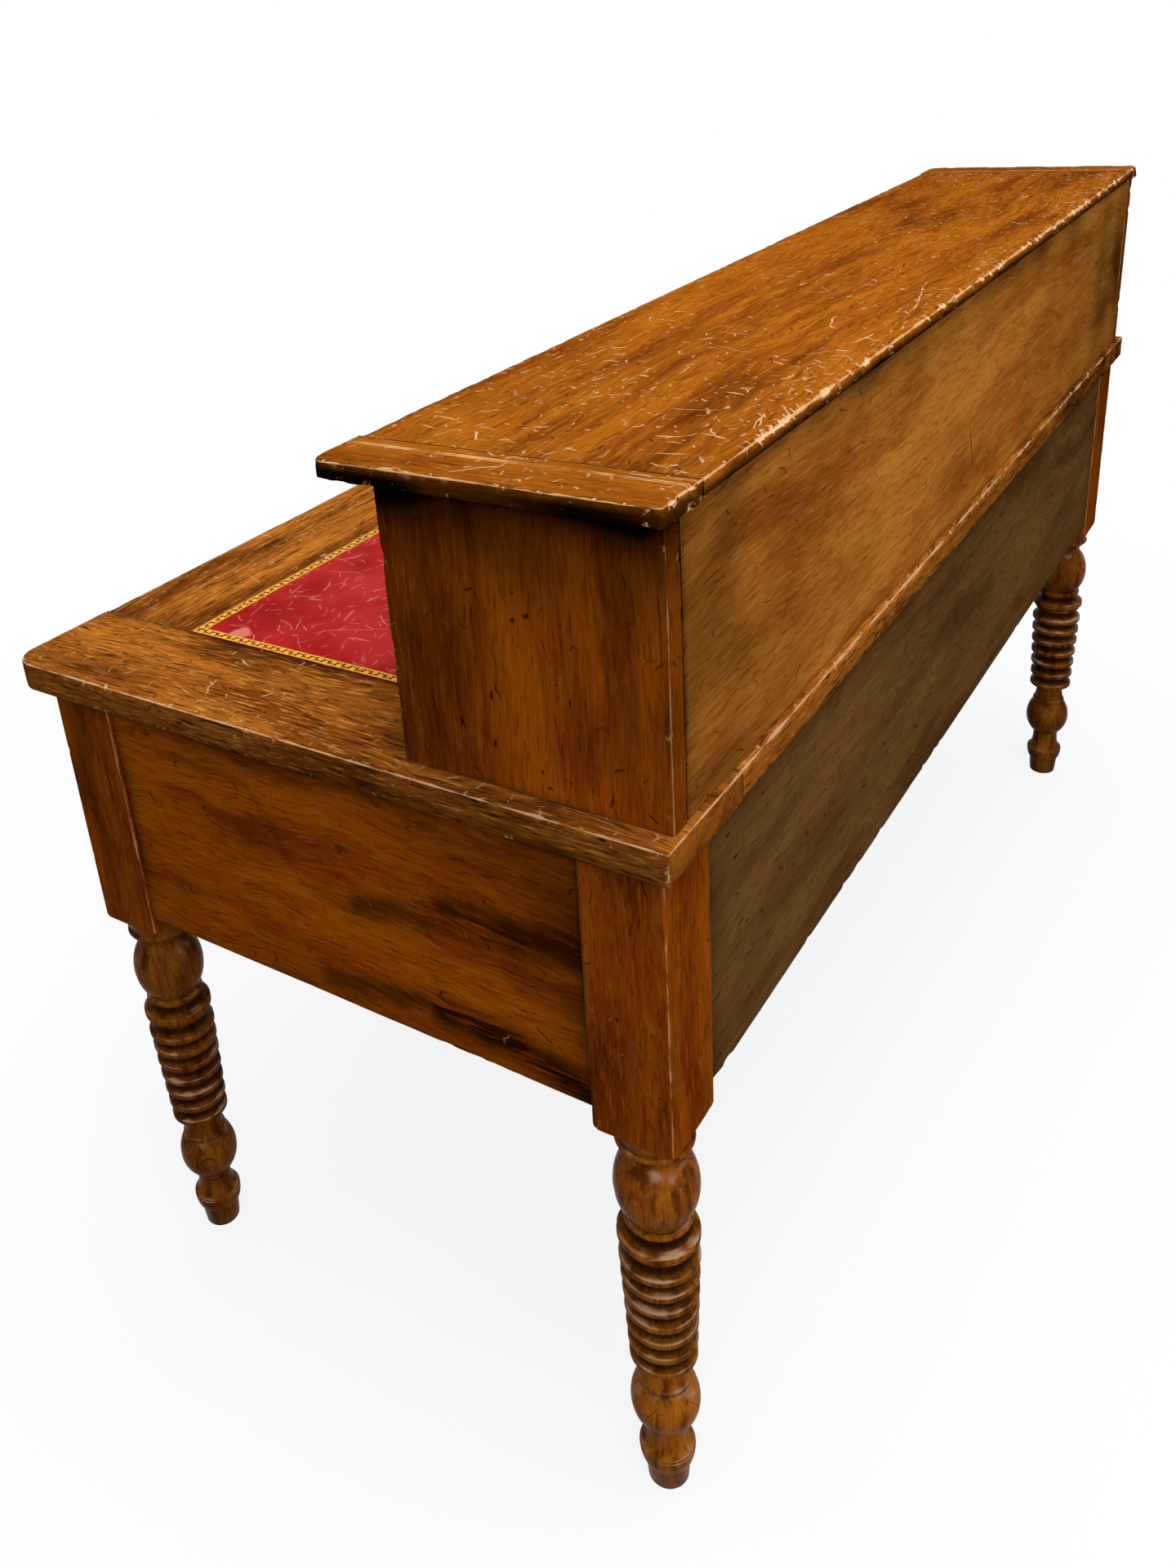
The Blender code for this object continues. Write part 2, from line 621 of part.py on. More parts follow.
def wedges(name, x_pair, y_tip, inward, depths, spans):
    """One tool of several tapered wedges, each given by its z limits as a function of depth."""
    bm = bmesh.new()
    for limits in spans:
        made = bmesh.ops.create_cube(bm, size=1.0)["verts"]
        for vert in made:
            depth = depths[0] if vert.co.y < 0 else depths[1]
            low, high = limits(depth)
            x = x_pair[0] if vert.co.x < 0 else x_pair[1]
            vert.co = (x, y_tip + inward * depth, low if vert.co.z < 0 else high)
    bm.normal_update()
    bmesh.ops.recalc_face_normals(bm, faces=bm.faces)
    return tool(name, bm)


def dovetail(side, other, x_pair, x_open, y_tip, inward, length, z_pair, edge, count, blind):
    """Cut tails in the end of a drawer side, and their sockets, one fit larger, in the board it meets."""
    low, high = z_pair
    pitch = (high - low) / count
    lines = [low + index * pitch for index in range(count + 1)]

    def waste(index):
        line = lines[index]
        floor = low - edge if index == 0 else None
        ceiling = high + edge if index == count else None
        return lambda depth: (line - pin_half(depth) if floor is None else floor,
                              line + pin_half(depth) if ceiling is None else ceiling)

    def socket(index):
        return lambda depth: (lines[index] + pin_half(depth) - FIT, lines[index + 1] - pin_half(depth) + FIT)

    through = (x_pair[0] - PASS, x_pair[1] + PASS)
    label = f"{side.name}_{other.name}"
    wastes = [waste(index) for index in range(count + 1)]
    waste_tool = wedges(label + "_waste", through, y_tip, inward, (-PASS, length + FIT), wastes)
    combine(side, waste_tool, "DIFFERENCE")
    sockets = [socket(index) for index in range(count)]
    depths = (-FIT if blind else -PASS, length + PASS)
    socket_tool = wedges(label + "_socket", x_open, y_tip, inward, depths, sockets)
    combine(other, socket_tool, "DIFFERENCE")


def knob_profile():
    """Radius and height pairs of a turned knob, from its domed head down to the end of its spigot."""
    head_low = KNOB_LENGTH - KNOB_HEAD_DEPTH
    dome = half_round(KNOB_LENGTH, head_low, 0.0, KNOB_RADIUS, KNOB_DOME_STEPS)[:-1]
    points = [(radius, height) for radius, height in dome if radius > KNOB_NECK_RADIUS / 2]
    points += [(KNOB_NECK_RADIUS, head_low), (KNOB_NECK_RADIUS, KNOB_BASE_DEPTH)]
    points += [(KNOB_BASE_RADIUS, KNOB_BASE_DEPTH), (KNOB_BASE_RADIUS, 0.0), (KNOB_SPIGOT_RADIUS, 0.0)]
    points += [(KNOB_SPIGOT_RADIUS, -DRAWER_FRONT_THICKNESS)]
    return points


def knob(name, x, y, z, front, carrier):
    """A turned knob whose spigot goes through the drawer front."""
    piece = put(name, profile_mesh(knob_profile()), (0.0, 0.0, 0.0), KNOB_WOOD)
    piece.parent = carrier
    piece.location = Vector((x, y - FIT, z)) - carrier.location
    piece.rotation_euler = (math.pi / 2, 0.0, 0.0)
    turn(piece, KNOB_SIDES)
    bm = bmesh.new()
    depth = 2 * (DRAWER_FRONT_THICKNESS + PASS)
    radius = KNOB_SPIGOT_RADIUS + FIT
    bmesh.ops.create_cone(bm, cap_ends=True, segments=KNOB_SIDES, radius1=radius, radius2=radius, depth=depth)
    hole = tool(name + "_hole", bm)
    hole.location = (x, y, z)
    hole.rotation_euler = (math.pi / 2, 0.0, 0.0)
    combine(front, hole, "DIFFERENCE")
    return piece


def drawer(word, x_pair, z_pair, tails, knob_spacing):
    """One drawer: front, two sides, back, bottom and two knobs, all carried by an empty on its slide."""
    floor, ceiling = z_pair
    left = x_pair[0] + DRAWER_GAP
    right = x_pair[1] - DRAWER_GAP
    face = FRAME_FRONT + DRAWER_SETBACK
    inside = face + DRAWER_FRONT_THICKNESS
    rear = BACK_PANEL_INSIDE - DRAWER_BACK_ROOM
    side_low = floor + FIT
    side_high = ceiling - DRAWER_TOP_ROOM
    bottom_low = side_low + DRAWER_BOTTOM_LIFT
    bottom_high = bottom_low + DRAWER_BOTTOM_THICKNESS
    back_pair = (bottom_high + FIT, side_high - DRAWER_BACK_DROP)
    name = f"{word}_drawer"

    slide = bpy.data.objects.new(f"{name}_slide", None)
    DESK.objects.link(slide)
    slide.location = ((left + right) / 2, face, (floor + ceiling) / 2)

    front_space = block((left, right), (face, inside), (floor + DRAWER_GAP, ceiling - DRAWER_GAP))
    front = board(f"{name}_front", front_space, FRONT_WOOD, carrier=slide)
    back = board(f"{name}_back", block((left, right), (rear - DRAWER_BACK_THICKNESS, rear), back_pair),
                 LINING_WOOD, arris=0.0, carrier=slide)
    groove = DRAWER_BOTTOM_GROOVE
    bottom_space = block((left + DRAWER_SIDE_THICKNESS - groove, right - DRAWER_SIDE_THICKNESS + groove),
                         (inside - groove, rear), (bottom_low, bottom_high))
    board(f"{name}_bottom", bottom_space, LINING_WOOD, arris=0.0, carrier=slide)
    groove_tool = tool(f"{name}_bottom_groove", cube(grown(bottom_space, FIT)))

    for hand_word, outer, inner_step in (("left", left, 1), ("right", right, -1)):
        inner = outer + inner_step * DRAWER_SIDE_THICKNESS
        tip = inside - FRONT_TAIL_LENGTH
        side = board(f"{name}_side_{hand_word}", block((outer, inner), (tip, rear), (side_low, side_high)),
                     LINING_WOOD, arris=0.0, carrier=slide)
        x_side = tuple(sorted((outer, inner)))
        x_open = tuple(sorted((outer - inner_step * PASS, inner + inner_step * FIT)))
        dovetail(side, front, x_side, x_open, y_tip=tip, inward=1, length=FRONT_TAIL_LENGTH,
                 z_pair=(side_low, side_high), edge=PASS, count=tails, blind=True)
        dovetail(side, back, x_side, x_open, y_tip=rear, inward=-1, length=DRAWER_BACK_THICKNESS,
                 z_pair=back_pair, edge=FIT, count=tails, blind=False)
        combine(side, groove_tool, "DIFFERENCE")
    combine(front, groove_tool, "DIFFERENCE")

    for hand_word, hand in HANDS.items():
        x = (left + right) / 2 + hand * knob_spacing / 2
        knob(f"{name}_knob_{hand_word}", x, face, (floor + ceiling) / 2, front, slide)


# Gallery

def gallery():
    """Two sides, a back between them, inner uprights, a shelf and the clamped lid."""
    low = WRITING_HEIGHT + FIT
    high = LID_UNDERSIDE - FIT
    z_pair = (low, high)
    sides = []
    for word, hand in HANDS.items():
        space = block((hand * GALLERY_INSIDE, hand * GALLERY_END), (GALLERY_FRONT, GALLERY_BACK), z_pair)
        sides.append(board(f"gallery_side_{word}", space, GALLERY_WOOD))
    x_half = GALLERY_INSIDE - FIT
    back_outer = GALLERY_BACK - GALLERY_BACK_SETBACK
    back_space = block((-x_half, x_half), (GALLERY_BACK_INSIDE, back_outer), z_pair)
    back = board("gallery_back", back_space, GALLERY_WOOD)
    half = GALLERY_TONGUE_THICKNESS / 2
    centre = (GALLERY_BACK_INSIDE + back_outer) / 2
    reach = x_half + GALLERY_TONGUE_LENGTH
    tongue_space = block((-reach, reach), (centre - half, centre + half),
                         (low + TONGUE_STOP, high - TONGUE_STOP))
    tongue(back, tongue_space, *sides)

    bay = CENTRE_BAY_WIDTH / 2
    front = GALLERY_FRONT + UPRIGHT_SETBACK
    y_pair = (front, GALLERY_BACK_INSIDE - FIT)
    uprights = []
    for word, hand in HANDS.items():
        space = block((hand * bay, hand * (bay + UPRIGHT_THICKNESS)), y_pair, z_pair)
        uprights.append(board(f"gallery_upright_{word}", space, GALLERY_WOOD))
    shelf_low = WRITING_HEIGHT + SHELF_RISE
    shelf_end = bay + SHELF_HOUSING
    shelf_space = block((-shelf_end, shelf_end), y_pair, (shelf_low, shelf_low + SHELF_THICKNESS))
    board("gallery_shelf", shelf_space, GALLERY_WOOD, arris=0.0)
    housing = tool("gallery_shelf_housing", cube(grown(shelf_space, FIT)))
    for upright in uprights:
        combine(upright, housing, "DIFFERENCE")

    end_bay = (bay + UPRIGHT_THICKNESS + GALLERY_INSIDE) / 2
    for word, hand in HANDS.items():
        x_pair = (hand * end_bay - PIGEONHOLE_THICKNESS / 2, hand * end_bay + PIGEONHOLE_THICKNESS / 2)
        board(f"gallery_pigeonhole_{word}", block(x_pair, y_pair, z_pair), GALLERY_WOOD)


def lid():
    """The gallery lid: one long board between two narrow clamps."""
    z_pair = (LID_UNDERSIDE, LID_UNDERSIDE + LID_THICKNESS)
    y_pair = (LID_FRONT, LID_BACK)
    corners = (LID_FRONT_CORNER, LID_BACK_CORNER)
    clamps = [clamp(f"lid_clamp_{word}", hand, LID_CLAMP_INSIDE, LID_END, y_pair, z_pair,
                    corners, LID_EDGE_ROUND, LID_WOOD)
              for word, hand in HANDS.items()]
    x_half = LID_CLAMP_INSIDE - FIT
    main_board = edge_board("lid_board", x_half, y_pair, z_pair, y_pair, LID_EDGE_ROUND, LID_WOOD)
    cross_tongue(main_board, x_half, LID_TONGUE_LENGTH, LID_TONGUE_THICKNESS,
                 (LID_FRONT + TONGUE_STOP, LID_BACK - TONGUE_STOP), sum(z_pair) / 2, clamps)


# Assembly

def frame():
    """Legs, panels, front framing and runners."""
    legs = {}
    for word, hand in HANDS.items():
        legs["front", word] = leg(f"leg_front_{word}", hand, FRAME_FRONT + POST_WIDTH, FRAME_FRONT)
        legs["back", word] = leg(f"leg_back_{word}", hand, FRAME_BACK - POST_WIDTH, FRAME_BACK)
        end_panel(f"end_panel_{word}", hand, (legs["front", word], legs["back", word]))
    back = back_panel((legs["back", "left"], legs["back", "right"]))
    partitions = {word: partition(f"kneehole_partition_{word}", hand, back) for word, hand in HANDS.items()}
    front_rail("front_top_rail", -POST_INSIDE, POST_INSIDE, TOP_RAIL_LOW, FRAME_TOP,
               legs["front", "left"], legs["front", "right"])
    front_rail("front_centre_rail", -PARTITION_INSIDE, PARTITION_INSIDE,
               CENTRE_DRAWER_FLOOR - RAIL_HEIGHT, CENTRE_DRAWER_FLOOR, *partitions.values())
    for word, hand in HANDS.items():
        x_low, x_high = sorted((hand * PARTITION_OUTSIDE, hand * POST_INSIDE))
        front_rail(f"front_lower_rail_{word}", x_low, x_high, PANEL_LOW, SIDE_DRAWER_FLOOR,
                   legs["front", word], partitions[word])
        runner(f"{word}_runner_outer", hand * POST_INSIDE, -hand, SIDE_DRAWER_FLOOR)
        runner(f"{word}_runner_inner", hand * PARTITION_OUTSIDE, hand, SIDE_DRAWER_FLOOR)
        runner(f"centre_runner_{word}", hand * PARTITION_INSIDE, -hand, CENTRE_DRAWER_FLOOR)


def drawers():
    """A deep drawer at each side of the kneehole and a shallow one over it."""
    for word, hand in HANDS.items():
        x_pair = sorted((hand * PARTITION_OUTSIDE, hand * POST_INSIDE))
        drawer(word, x_pair, (SIDE_DRAWER_FLOOR, TOP_RAIL_LOW), SIDE_TAIL_COUNT, SIDE_KNOB_SPACING)
    drawer("centre", (-PARTITION_INSIDE, PARTITION_INSIDE), (CENTRE_DRAWER_FLOOR, TOP_RAIL_LOW),
           CENTRE_TAIL_COUNT, CENTRE_KNOB_SPACING)


frame()
desk_top()
drawers()
gallery()
lid()
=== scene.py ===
"""Looks of the library desk: worn waxed boards, ring-turned legs and a gilt-tooled writing leather.

Metres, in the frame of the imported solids: X along the desk, the writer at -Y, Z up.
"""

from __future__ import annotations

import logging
import math
from contextlib import contextmanager
from dataclasses import dataclass, field
from enum import Enum
from typing import Any, Callable, Iterable, Iterator, Sequence

import bpy
import numpy as np
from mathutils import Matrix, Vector, noise

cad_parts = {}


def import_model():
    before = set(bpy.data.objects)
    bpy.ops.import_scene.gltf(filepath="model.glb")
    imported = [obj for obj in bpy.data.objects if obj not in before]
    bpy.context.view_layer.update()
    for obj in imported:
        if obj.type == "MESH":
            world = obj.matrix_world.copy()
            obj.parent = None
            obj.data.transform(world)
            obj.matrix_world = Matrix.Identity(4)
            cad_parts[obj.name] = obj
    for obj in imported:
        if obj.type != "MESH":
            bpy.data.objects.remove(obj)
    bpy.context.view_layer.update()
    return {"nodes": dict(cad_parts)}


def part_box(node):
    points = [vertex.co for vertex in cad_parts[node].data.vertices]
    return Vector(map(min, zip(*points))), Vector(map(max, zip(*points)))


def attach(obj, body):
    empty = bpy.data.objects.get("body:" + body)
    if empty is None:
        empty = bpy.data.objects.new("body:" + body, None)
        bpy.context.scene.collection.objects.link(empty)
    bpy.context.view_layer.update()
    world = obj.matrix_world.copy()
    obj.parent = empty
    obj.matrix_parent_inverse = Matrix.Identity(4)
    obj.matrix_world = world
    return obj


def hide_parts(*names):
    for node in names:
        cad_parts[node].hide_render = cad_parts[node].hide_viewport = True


LOG = logging.getLogger("library_desk")
TINY = 1e-5                     # two places closer than this are the same place
FAR = 10.0                      # further than any edge of the desk
FULL_TURN = 2 * math.pi
QUARTER_TURN = math.pi / 2
MOST_CELLS = 100                # one subdivide makes no more than this
CRISP_ANGLE = math.radians(40)  # edges sharper than this stay crisp
FLAT_ANGLE = math.radians(1.0)  # faces that differ by less lie in one plane
EDGES_ONLY = (False, True, False)
FACES_ONLY = (False, False, True)
MIDDLE = (0.5, 0.5, 0.5)        # what coloured noise swings about
WHITE = (1.0, 1.0, 1.0, 1.0)

Point = tuple[float, float]
Colour = tuple[float, float, float, float]
Socket = bpy.types.NodeSocket


class Side(Enum):
    """A side of a board: its axis, and which end of that axis it faces."""

    LEFT = (0, -1)
    RIGHT = (0, 1)
    FRONT = (1, -1)
    BACK = (1, 1)
    UNDER = (2, -1)
    OVER = (2, 1)


class Hand(Enum):
    """The two ends of the desk."""

    LEFT = -1
    RIGHT = 1

    @property
    def word(self) -> str:
        """The word that the solids' names use."""
        return self.name.lower()

    @property
    def outer(self) -> Side:
        """The side of a board that faces this end."""
        return Side.RIGHT if self is Hand.RIGHT else Side.LEFT

    @property
    def inner(self) -> Side:
        """The side of a board that faces the middle of the desk."""
        return Side.LEFT if self is Hand.RIGHT else Side.RIGHT


class Grain(Enum):
    """The axes that run along, across and through a board's fibres."""

    ALONG_FLAT = (0, 1, 2)
    ACROSS_FLAT = (1, 0, 2)
    END_UPRIGHT = (2, 1, 0)
    END_LEVEL = (1, 2, 0)
    FACE_LEVEL = (0, 2, 1)
    FACE_UPRIGHT = (2, 0, 1)


# Colours and shader nodes

def paint(code: str) -> Colour:
    """Linear colour of a six-figure colour code.

    Args:
        code: red, green and blue as pairs of hexadecimal figures.

    Returns:
        The colour as the shader takes it, opaque.
    """
    parts = [int(code[start:start + 2], 16) / 255 for start in (0, 2, 4)]
    linear = [p / 12.92 if p <= 0.04045 else ((p + 0.055) / 1.055) ** 2.4 for p in parts]
    return (*linear, 1.0)


class Tree:
    """Adds nodes to one material or group, and joins them."""

    def __init__(self, tree: bpy.types.NodeTree) -> None:
        """Work on one node tree."""
        self.tree = tree

    def feed(self, socket: Socket, value: Any) -> None:
        """Join a socket to another one, or set it to a plain value."""
        if isinstance(value, bpy.types.NodeSocket):
            self.tree.links.new(value, socket)
        else:
            socket.default_value = value

    def add(self, kind: str, inputs: dict[Any, Any] | None = None, **settings: Any) -> bpy.types.Node:
        """Add a node.

        Args:
            kind: the node's type.
            inputs: a value or socket for each input, by name or number.
            settings: the node's own options.

        Returns:
            The node.
        """
        node = self.tree.nodes.new(kind)
        for name, value in settings.items():
            setattr(node, name, value)
        for key, value in (inputs or {}).items():
            self.feed(node.inputs[key], value)
        return node

    def math(self, operation: str, first: Any, second: Any = 0.0, third: Any = 0.0) -> Socket:
        """One sum on two or three numbers."""
        return self.add("ShaderNodeMath", {0: first, 1: second, 2: third}, operation=operation).outputs[0]

    def times(self, first: Any, second: Any) -> Socket:
        """Two numbers multiplied."""
        return self.math("MULTIPLY", first, second)

    def plus(self, first: Any, second: Any) -> Socket:
        """Two numbers added."""
        return self.math("ADD", first, second)

    def most(self, first: Any, second: Any) -> Socket:
        """The greater of two numbers."""
        return self.math("MAXIMUM", first, second)

    def ramp(self, value: Any, slope: Any, start: Any) -> Socket:
        """A number times a slope, plus a start."""
        return self.math("MULTIPLY_ADD", value, slope, start)

    def vector(self, operation: str, first: Any, second: Any = (0.0, 0.0, 0.0)) -> Socket:
        """One sum on two vectors."""
        return self.add("ShaderNodeVectorMath", {0: first, 1: second}, operation=operation).outputs[0]

    def measure(self, operation: str, first: Any, second: Any = (0.0, 0.0, 0.0)) -> Socket:
        """One number worked out from two vectors."""
        return self.add("ShaderNodeVectorMath", {0: first, 1: second}, operation=operation).outputs["Value"]

    def scaled(self, first: Any, by: Any) -> Socket:
        """A vector times a number."""
        return self.add("ShaderNodeVectorMath", {0: first, 3: by}, operation="SCALE").outputs[0]

    def point(self, along: Any, across: Any, through: Any = 0.0) -> Socket:
        """A vector put together from its numbers."""
        return self.add("ShaderNodeCombineXYZ", {0: along, 1: across, 2: through}).outputs[0]

    def split(self, vector: Any) -> bpy.types.NodeOutputs:
        """The three numbers of a vector."""
        return self.add("ShaderNodeSeparateXYZ", {0: vector}).outputs

    def blend(self, factor: Any, first: Any, second: Any) -> Socket:
        """Two colours mixed by a factor."""
        return self.add("ShaderNodeMix", {0: factor, 6: first, 7: second}, data_type="RGBA").outputs[2]

    def rise(self, value: Any, low: Any, high: Any) -> Socket:
        """A smooth step from nought at one value to one at another."""
        inputs = {"Value": value, "From Min": low, "From Max": high}
        return self.add("ShaderNodeMapRange", inputs, interpolation_type="SMOOTHSTEP").outputs[0]

    def cloud(self, place: Any, detail: float = 2.0, rough: float = 0.5, scale: float = 1.0) -> Socket:
        """Soft noise from nought to one."""
        inputs = {"Vector": place, "Scale": scale, "Detail": detail, "Roughness": rough}
        return self.add("ShaderNodeTexNoise", inputs).outputs[0]

    def drift(self, place: Any, scale: float, detail: float, reach: Any) -> Socket:
        """A shift that wanders from place to place, by up to half a reach."""
        clouds = self.add("ShaderNodeTexNoise", {"Vector": place, "Scale": scale, "Detail": detail})
        return self.scaled(self.vector("SUBTRACT", clouds.outputs["Color"], MIDDLE), reach)

    def attribute(self, name: str, vector: bool = False) -> Socket:
        """A number or vector kept on the piece's own mesh."""
        node = self.add("ShaderNodeAttribute", attribute_name=name)
        return node.outputs["Vector" if vector else "Fac"]

    def group(self, tree: bpy.types.NodeTree, **inputs: Any) -> bpy.types.Node:
        """Place a group, with its inputs by name, underscores for blanks."""
        node = self.add("ShaderNodeGroup", node_tree=tree)
        for name, value in inputs.items():
            self.feed(node.inputs[name.replace("_", " ")], value)
        return node


def new_finish(name: str) -> tuple[bpy.types.Material, Tree, bpy.types.Node]:
    """A new material, with what adds its nodes, and its shader."""
    made = bpy.data.materials.new(name)
    made.use_nodes = True
    return made, Tree(made.node_tree), made.node_tree.nodes["Principled BSDF"]


SOCKETS = {"number": "NodeSocketFloat", "vector": "NodeSocketVector", "colour": "NodeSocketColor"}

# Changes of each pattern of the wood in a metre: along, across and through the fibres
SWAY = (1.6, 4.0, 4.0)
CURL = (9.0, 22.0, 22.0)
STROKE = (12.0, 170.0, 170.0)
FLECK = (36.0, 410.0, 410.0)
TICK = (46.0, 480.0, 480.0)
STAIN = (1.0, 4.5, 4.5)         # times the wood's own stain scale
RING_CHANGE = 2.5               # along the fibres only

# Changes of each pattern of wear in a metre
RUB_PATCH = 34.0
CHIP_PATCH = 210.0
SCAR_WANDER = 26.0
SCAR_GAP = 170.0


@dataclass
class Effects:
    """The effects that several finishes share, each one a node group."""

    timber: bpy.types.NodeTree = field(init=False)
    scratches: bpy.types.NodeTree = field(init=False)
    scar: bpy.types.NodeTree = field(init=False)
    specks: bpy.types.NodeTree = field(init=False)
    wear: bpy.types.NodeTree = field(init=False)

    def __post_init__(self) -> None:
        """Build every group once."""
        self.timber = self.make_group("timber_figure", self.draw_timber,
                                      {"Grain": "vector", "Ring Width": "number", "Wander": "number",
                                       "Stain Scale": "number"},
                                      {"Figure": "number", "Stroke": "number", "Fleck": "number",
                                       "Ticks": "number", "Mottle": "number"})
        self.scratches = self.make_group("scratches", self.draw_scratches,
                                         {"Place": "vector", "Cell": "number", "Width": "number",
                                          "Share": "number", "Wander": "number"},
                                         {"Mask": "number"})
        self.scar = self.make_group("scar", self.draw_scar,
                                    {"Place": "vector", "Start": "vector", "End": "vector",
                                     "Width": "number", "Wander": "number", "Gaps": "number"},
                                    {"Mask": "number"})
        self.specks = self.make_group("specks", self.draw_specks,
                                      {"Place": "vector", "Cell": "number", "Radius": "number",
                                       "Share": "number"},
                                      {"Mask": "number"})
        self.wear = self.make_group("edge_wear_and_grime", self.draw_wear,
                                    {"Colour": "colour", "Worn": "colour", "Raw": "colour",
                                     "Grime": "colour", "Place": "vector", "Edge": "number",
                                     "Chip": "number", "Dirt": "number"},
                                    {"Colour": "colour", "Bare": "number"})

    @staticmethod
    def make_group(name: str, draw: Callable[[Tree, dict[str, Socket]], dict[str, Socket]],
                   inputs: dict[str, str], outputs: dict[str, str]) -> bpy.types.NodeTree:
        """Make one node group.

        Args:
            name: the group's name.
            draw: adds the nodes between the inputs' sockets and the outputs' values.
            inputs: kind of each input, by name.
            outputs: kind of each output, by name.

        Returns:
            The group's node tree.
        """
        made = bpy.data.node_groups.new(name, "ShaderNodeTree")
        for sockets, way in ((inputs, "INPUT"), (outputs, "OUTPUT")):
            for label, kind in sockets.items():
                made.interface.new_socket(name=label, in_out=way, socket_type=SOCKETS[kind])
        tree = Tree(made)
        entry = tree.add("NodeGroupInput")
        results = draw(tree, {label: entry.outputs[label] for label in inputs})
        leave = tree.add("NodeGroupOutput")
        for label, value in results.items():
            tree.feed(leave.inputs[label], value)
        return made

    @staticmethod
    def draw_timber(tree: Tree, given: dict[str, Socket]) -> dict[str, Socket]:
        """Growth rings cut by the saw, strokes and flecks that follow them, dark ticks and broad stains."""
        place = given["Grain"]
        slow = tree.cloud(tree.vector("MULTIPLY", place, SWAY))
        curl = tree.cloud(tree.vector("MULTIPLY", place, CURL))
        sway = tree.plus(slow, tree.ramp(curl, 0.30, -0.65))
        sway = tree.times(sway, given["Wander"])
        along, beside, through = tree.split(place)
        across = tree.plus(beside, sway)
        radius = tree.measure("LENGTH", tree.point(across, through))
        ring = tree.math("DIVIDE", tree.plus(radius, sway), given["Ring Width"])
        bands = tree.point(tree.times(along, RING_CHANGE), ring)
        figure = tree.cloud(bands, 2.0, 0.55)
        flow = tree.point(along, across, through)
        stroke = tree.cloud(tree.vector("MULTIPLY", flow, STROKE), 4.0, 0.68)
        fleck = tree.cloud(tree.vector("MULTIPLY", flow, FLECK), 3.0, 0.64)
        ticks = tree.cloud(tree.vector("MULTIPLY", flow, TICK), 1.0)
        stains = tree.scaled(tree.vector("MULTIPLY", flow, STAIN), given["Stain Scale"])
        mottle = tree.cloud(stains, 3.0, 0.55)
        return {"Figure": figure, "Stroke": stroke, "Fleck": fleck, "Ticks": tree.rise(ticks, 0.66, 0.73),
                "Mottle": mottle}

    @staticmethod
    def draw_scratches(tree: Tree, given: dict[str, Socket]) -> dict[str, Socket]:
        """One short wandering stroke in each cell, turned, cut and faded by chance."""
        place = tree.scaled(given["Place"], tree.math("DIVIDE", 1.0, given["Cell"]))
        bent = tree.vector("ADD", place, tree.drift(place, 1.7, 1.0, given["Wander"]))
        cells = tree.add("ShaderNodeTexVoronoi", {"Vector": bent, "Scale": 1.0}, voronoi_dimensions="2D")
        chance = tree.add("ShaderNodeSeparateColor", {0: cells.outputs["Color"]}).outputs
        inside = tree.vector("SUBTRACT", bent, cells.outputs["Position"])
        angle = tree.times(chance[0], FULL_TURN)
        swung = tree.add("ShaderNodeVectorRotate", {"Vector": inside, "Angle": angle}, rotation_type="Z_AXIS")
        along, across, _ = tree.split(swung.outputs[0])
        half = tree.ramp(chance[1], 0.38, 0.10)
        width = tree.math("DIVIDE", given["Width"], given["Cell"])
        line = tree.rise(tree.math("ABSOLUTE", across), width, tree.times(width, 0.3))
        stroke = tree.rise(tree.math("ABSOLUTE", along), half, tree.times(half, 0.5))
        chosen = tree.math("LESS_THAN", chance[2], given["Share"])
        lot = tree.math("FRACT", tree.times(chance[1], 7.31))
        depth = tree.ramp(lot, 0.75, 0.25)
        mark = tree.times(tree.times(line, stroke), chosen)
        return {"Mask": tree.times(mark, depth)}

    @staticmethod
    def draw_scar(tree: Tree, given: dict[str, Socket]) -> dict[str, Socket]:
        """One long scratch between two places, bowed by chance, with gaps in it."""
        place = given["Place"]
        drift = tree.drift(place, SCAR_WANDER, 2.0, given["Wander"])
        own = tree.vector("SUBTRACT", tree.vector("ADD", place, drift), given["Start"])
        run = tree.vector("SUBTRACT", given["End"], given["Start"])
        reached = tree.measure("DOT_PRODUCT", own, run)
        share = tree.math("DIVIDE", reached, tree.measure("DOT_PRODUCT", run, run))
        share = tree.math("MINIMUM", tree.most(share, 0.0), 1.0)
        gap = tree.measure("DISTANCE", own, tree.scaled(run, share))
        line = tree.rise(gap, given["Width"], tree.times(given["Width"], 0.1))
        return {"Mask": tree.times(line, tree.rise(given["Gaps"], 0.32, 0.52))}

    @staticmethod
    def draw_specks(tree: Tree, given: dict[str, Socket]) -> dict[str, Socket]:
        """Small pits and stains, one in some of the cells."""
        place = tree.scaled(given["Place"], tree.math("DIVIDE", 1.0, given["Cell"]))
        ragged = tree.times(tree.cloud(place, 2.0, 0.6, 6.0), 0.12)
        cells = tree.add("ShaderNodeTexVoronoi", {"Vector": place, "Scale": 1.0})
        chance = tree.add("ShaderNodeSeparateColor", {0: cells.outputs["Color"]}).outputs
        size = tree.times(tree.math("DIVIDE", given["Radius"], given["Cell"]), chance[1])
        gap = tree.plus(cells.outputs["Distance"], tree.math("SUBTRACT", ragged, 0.06))
        spot = tree.rise(gap, size, tree.times(size, 0.5))
        return {"Mask": tree.times(spot, tree.math("LESS_THAN", chance[2], given["Share"]))}

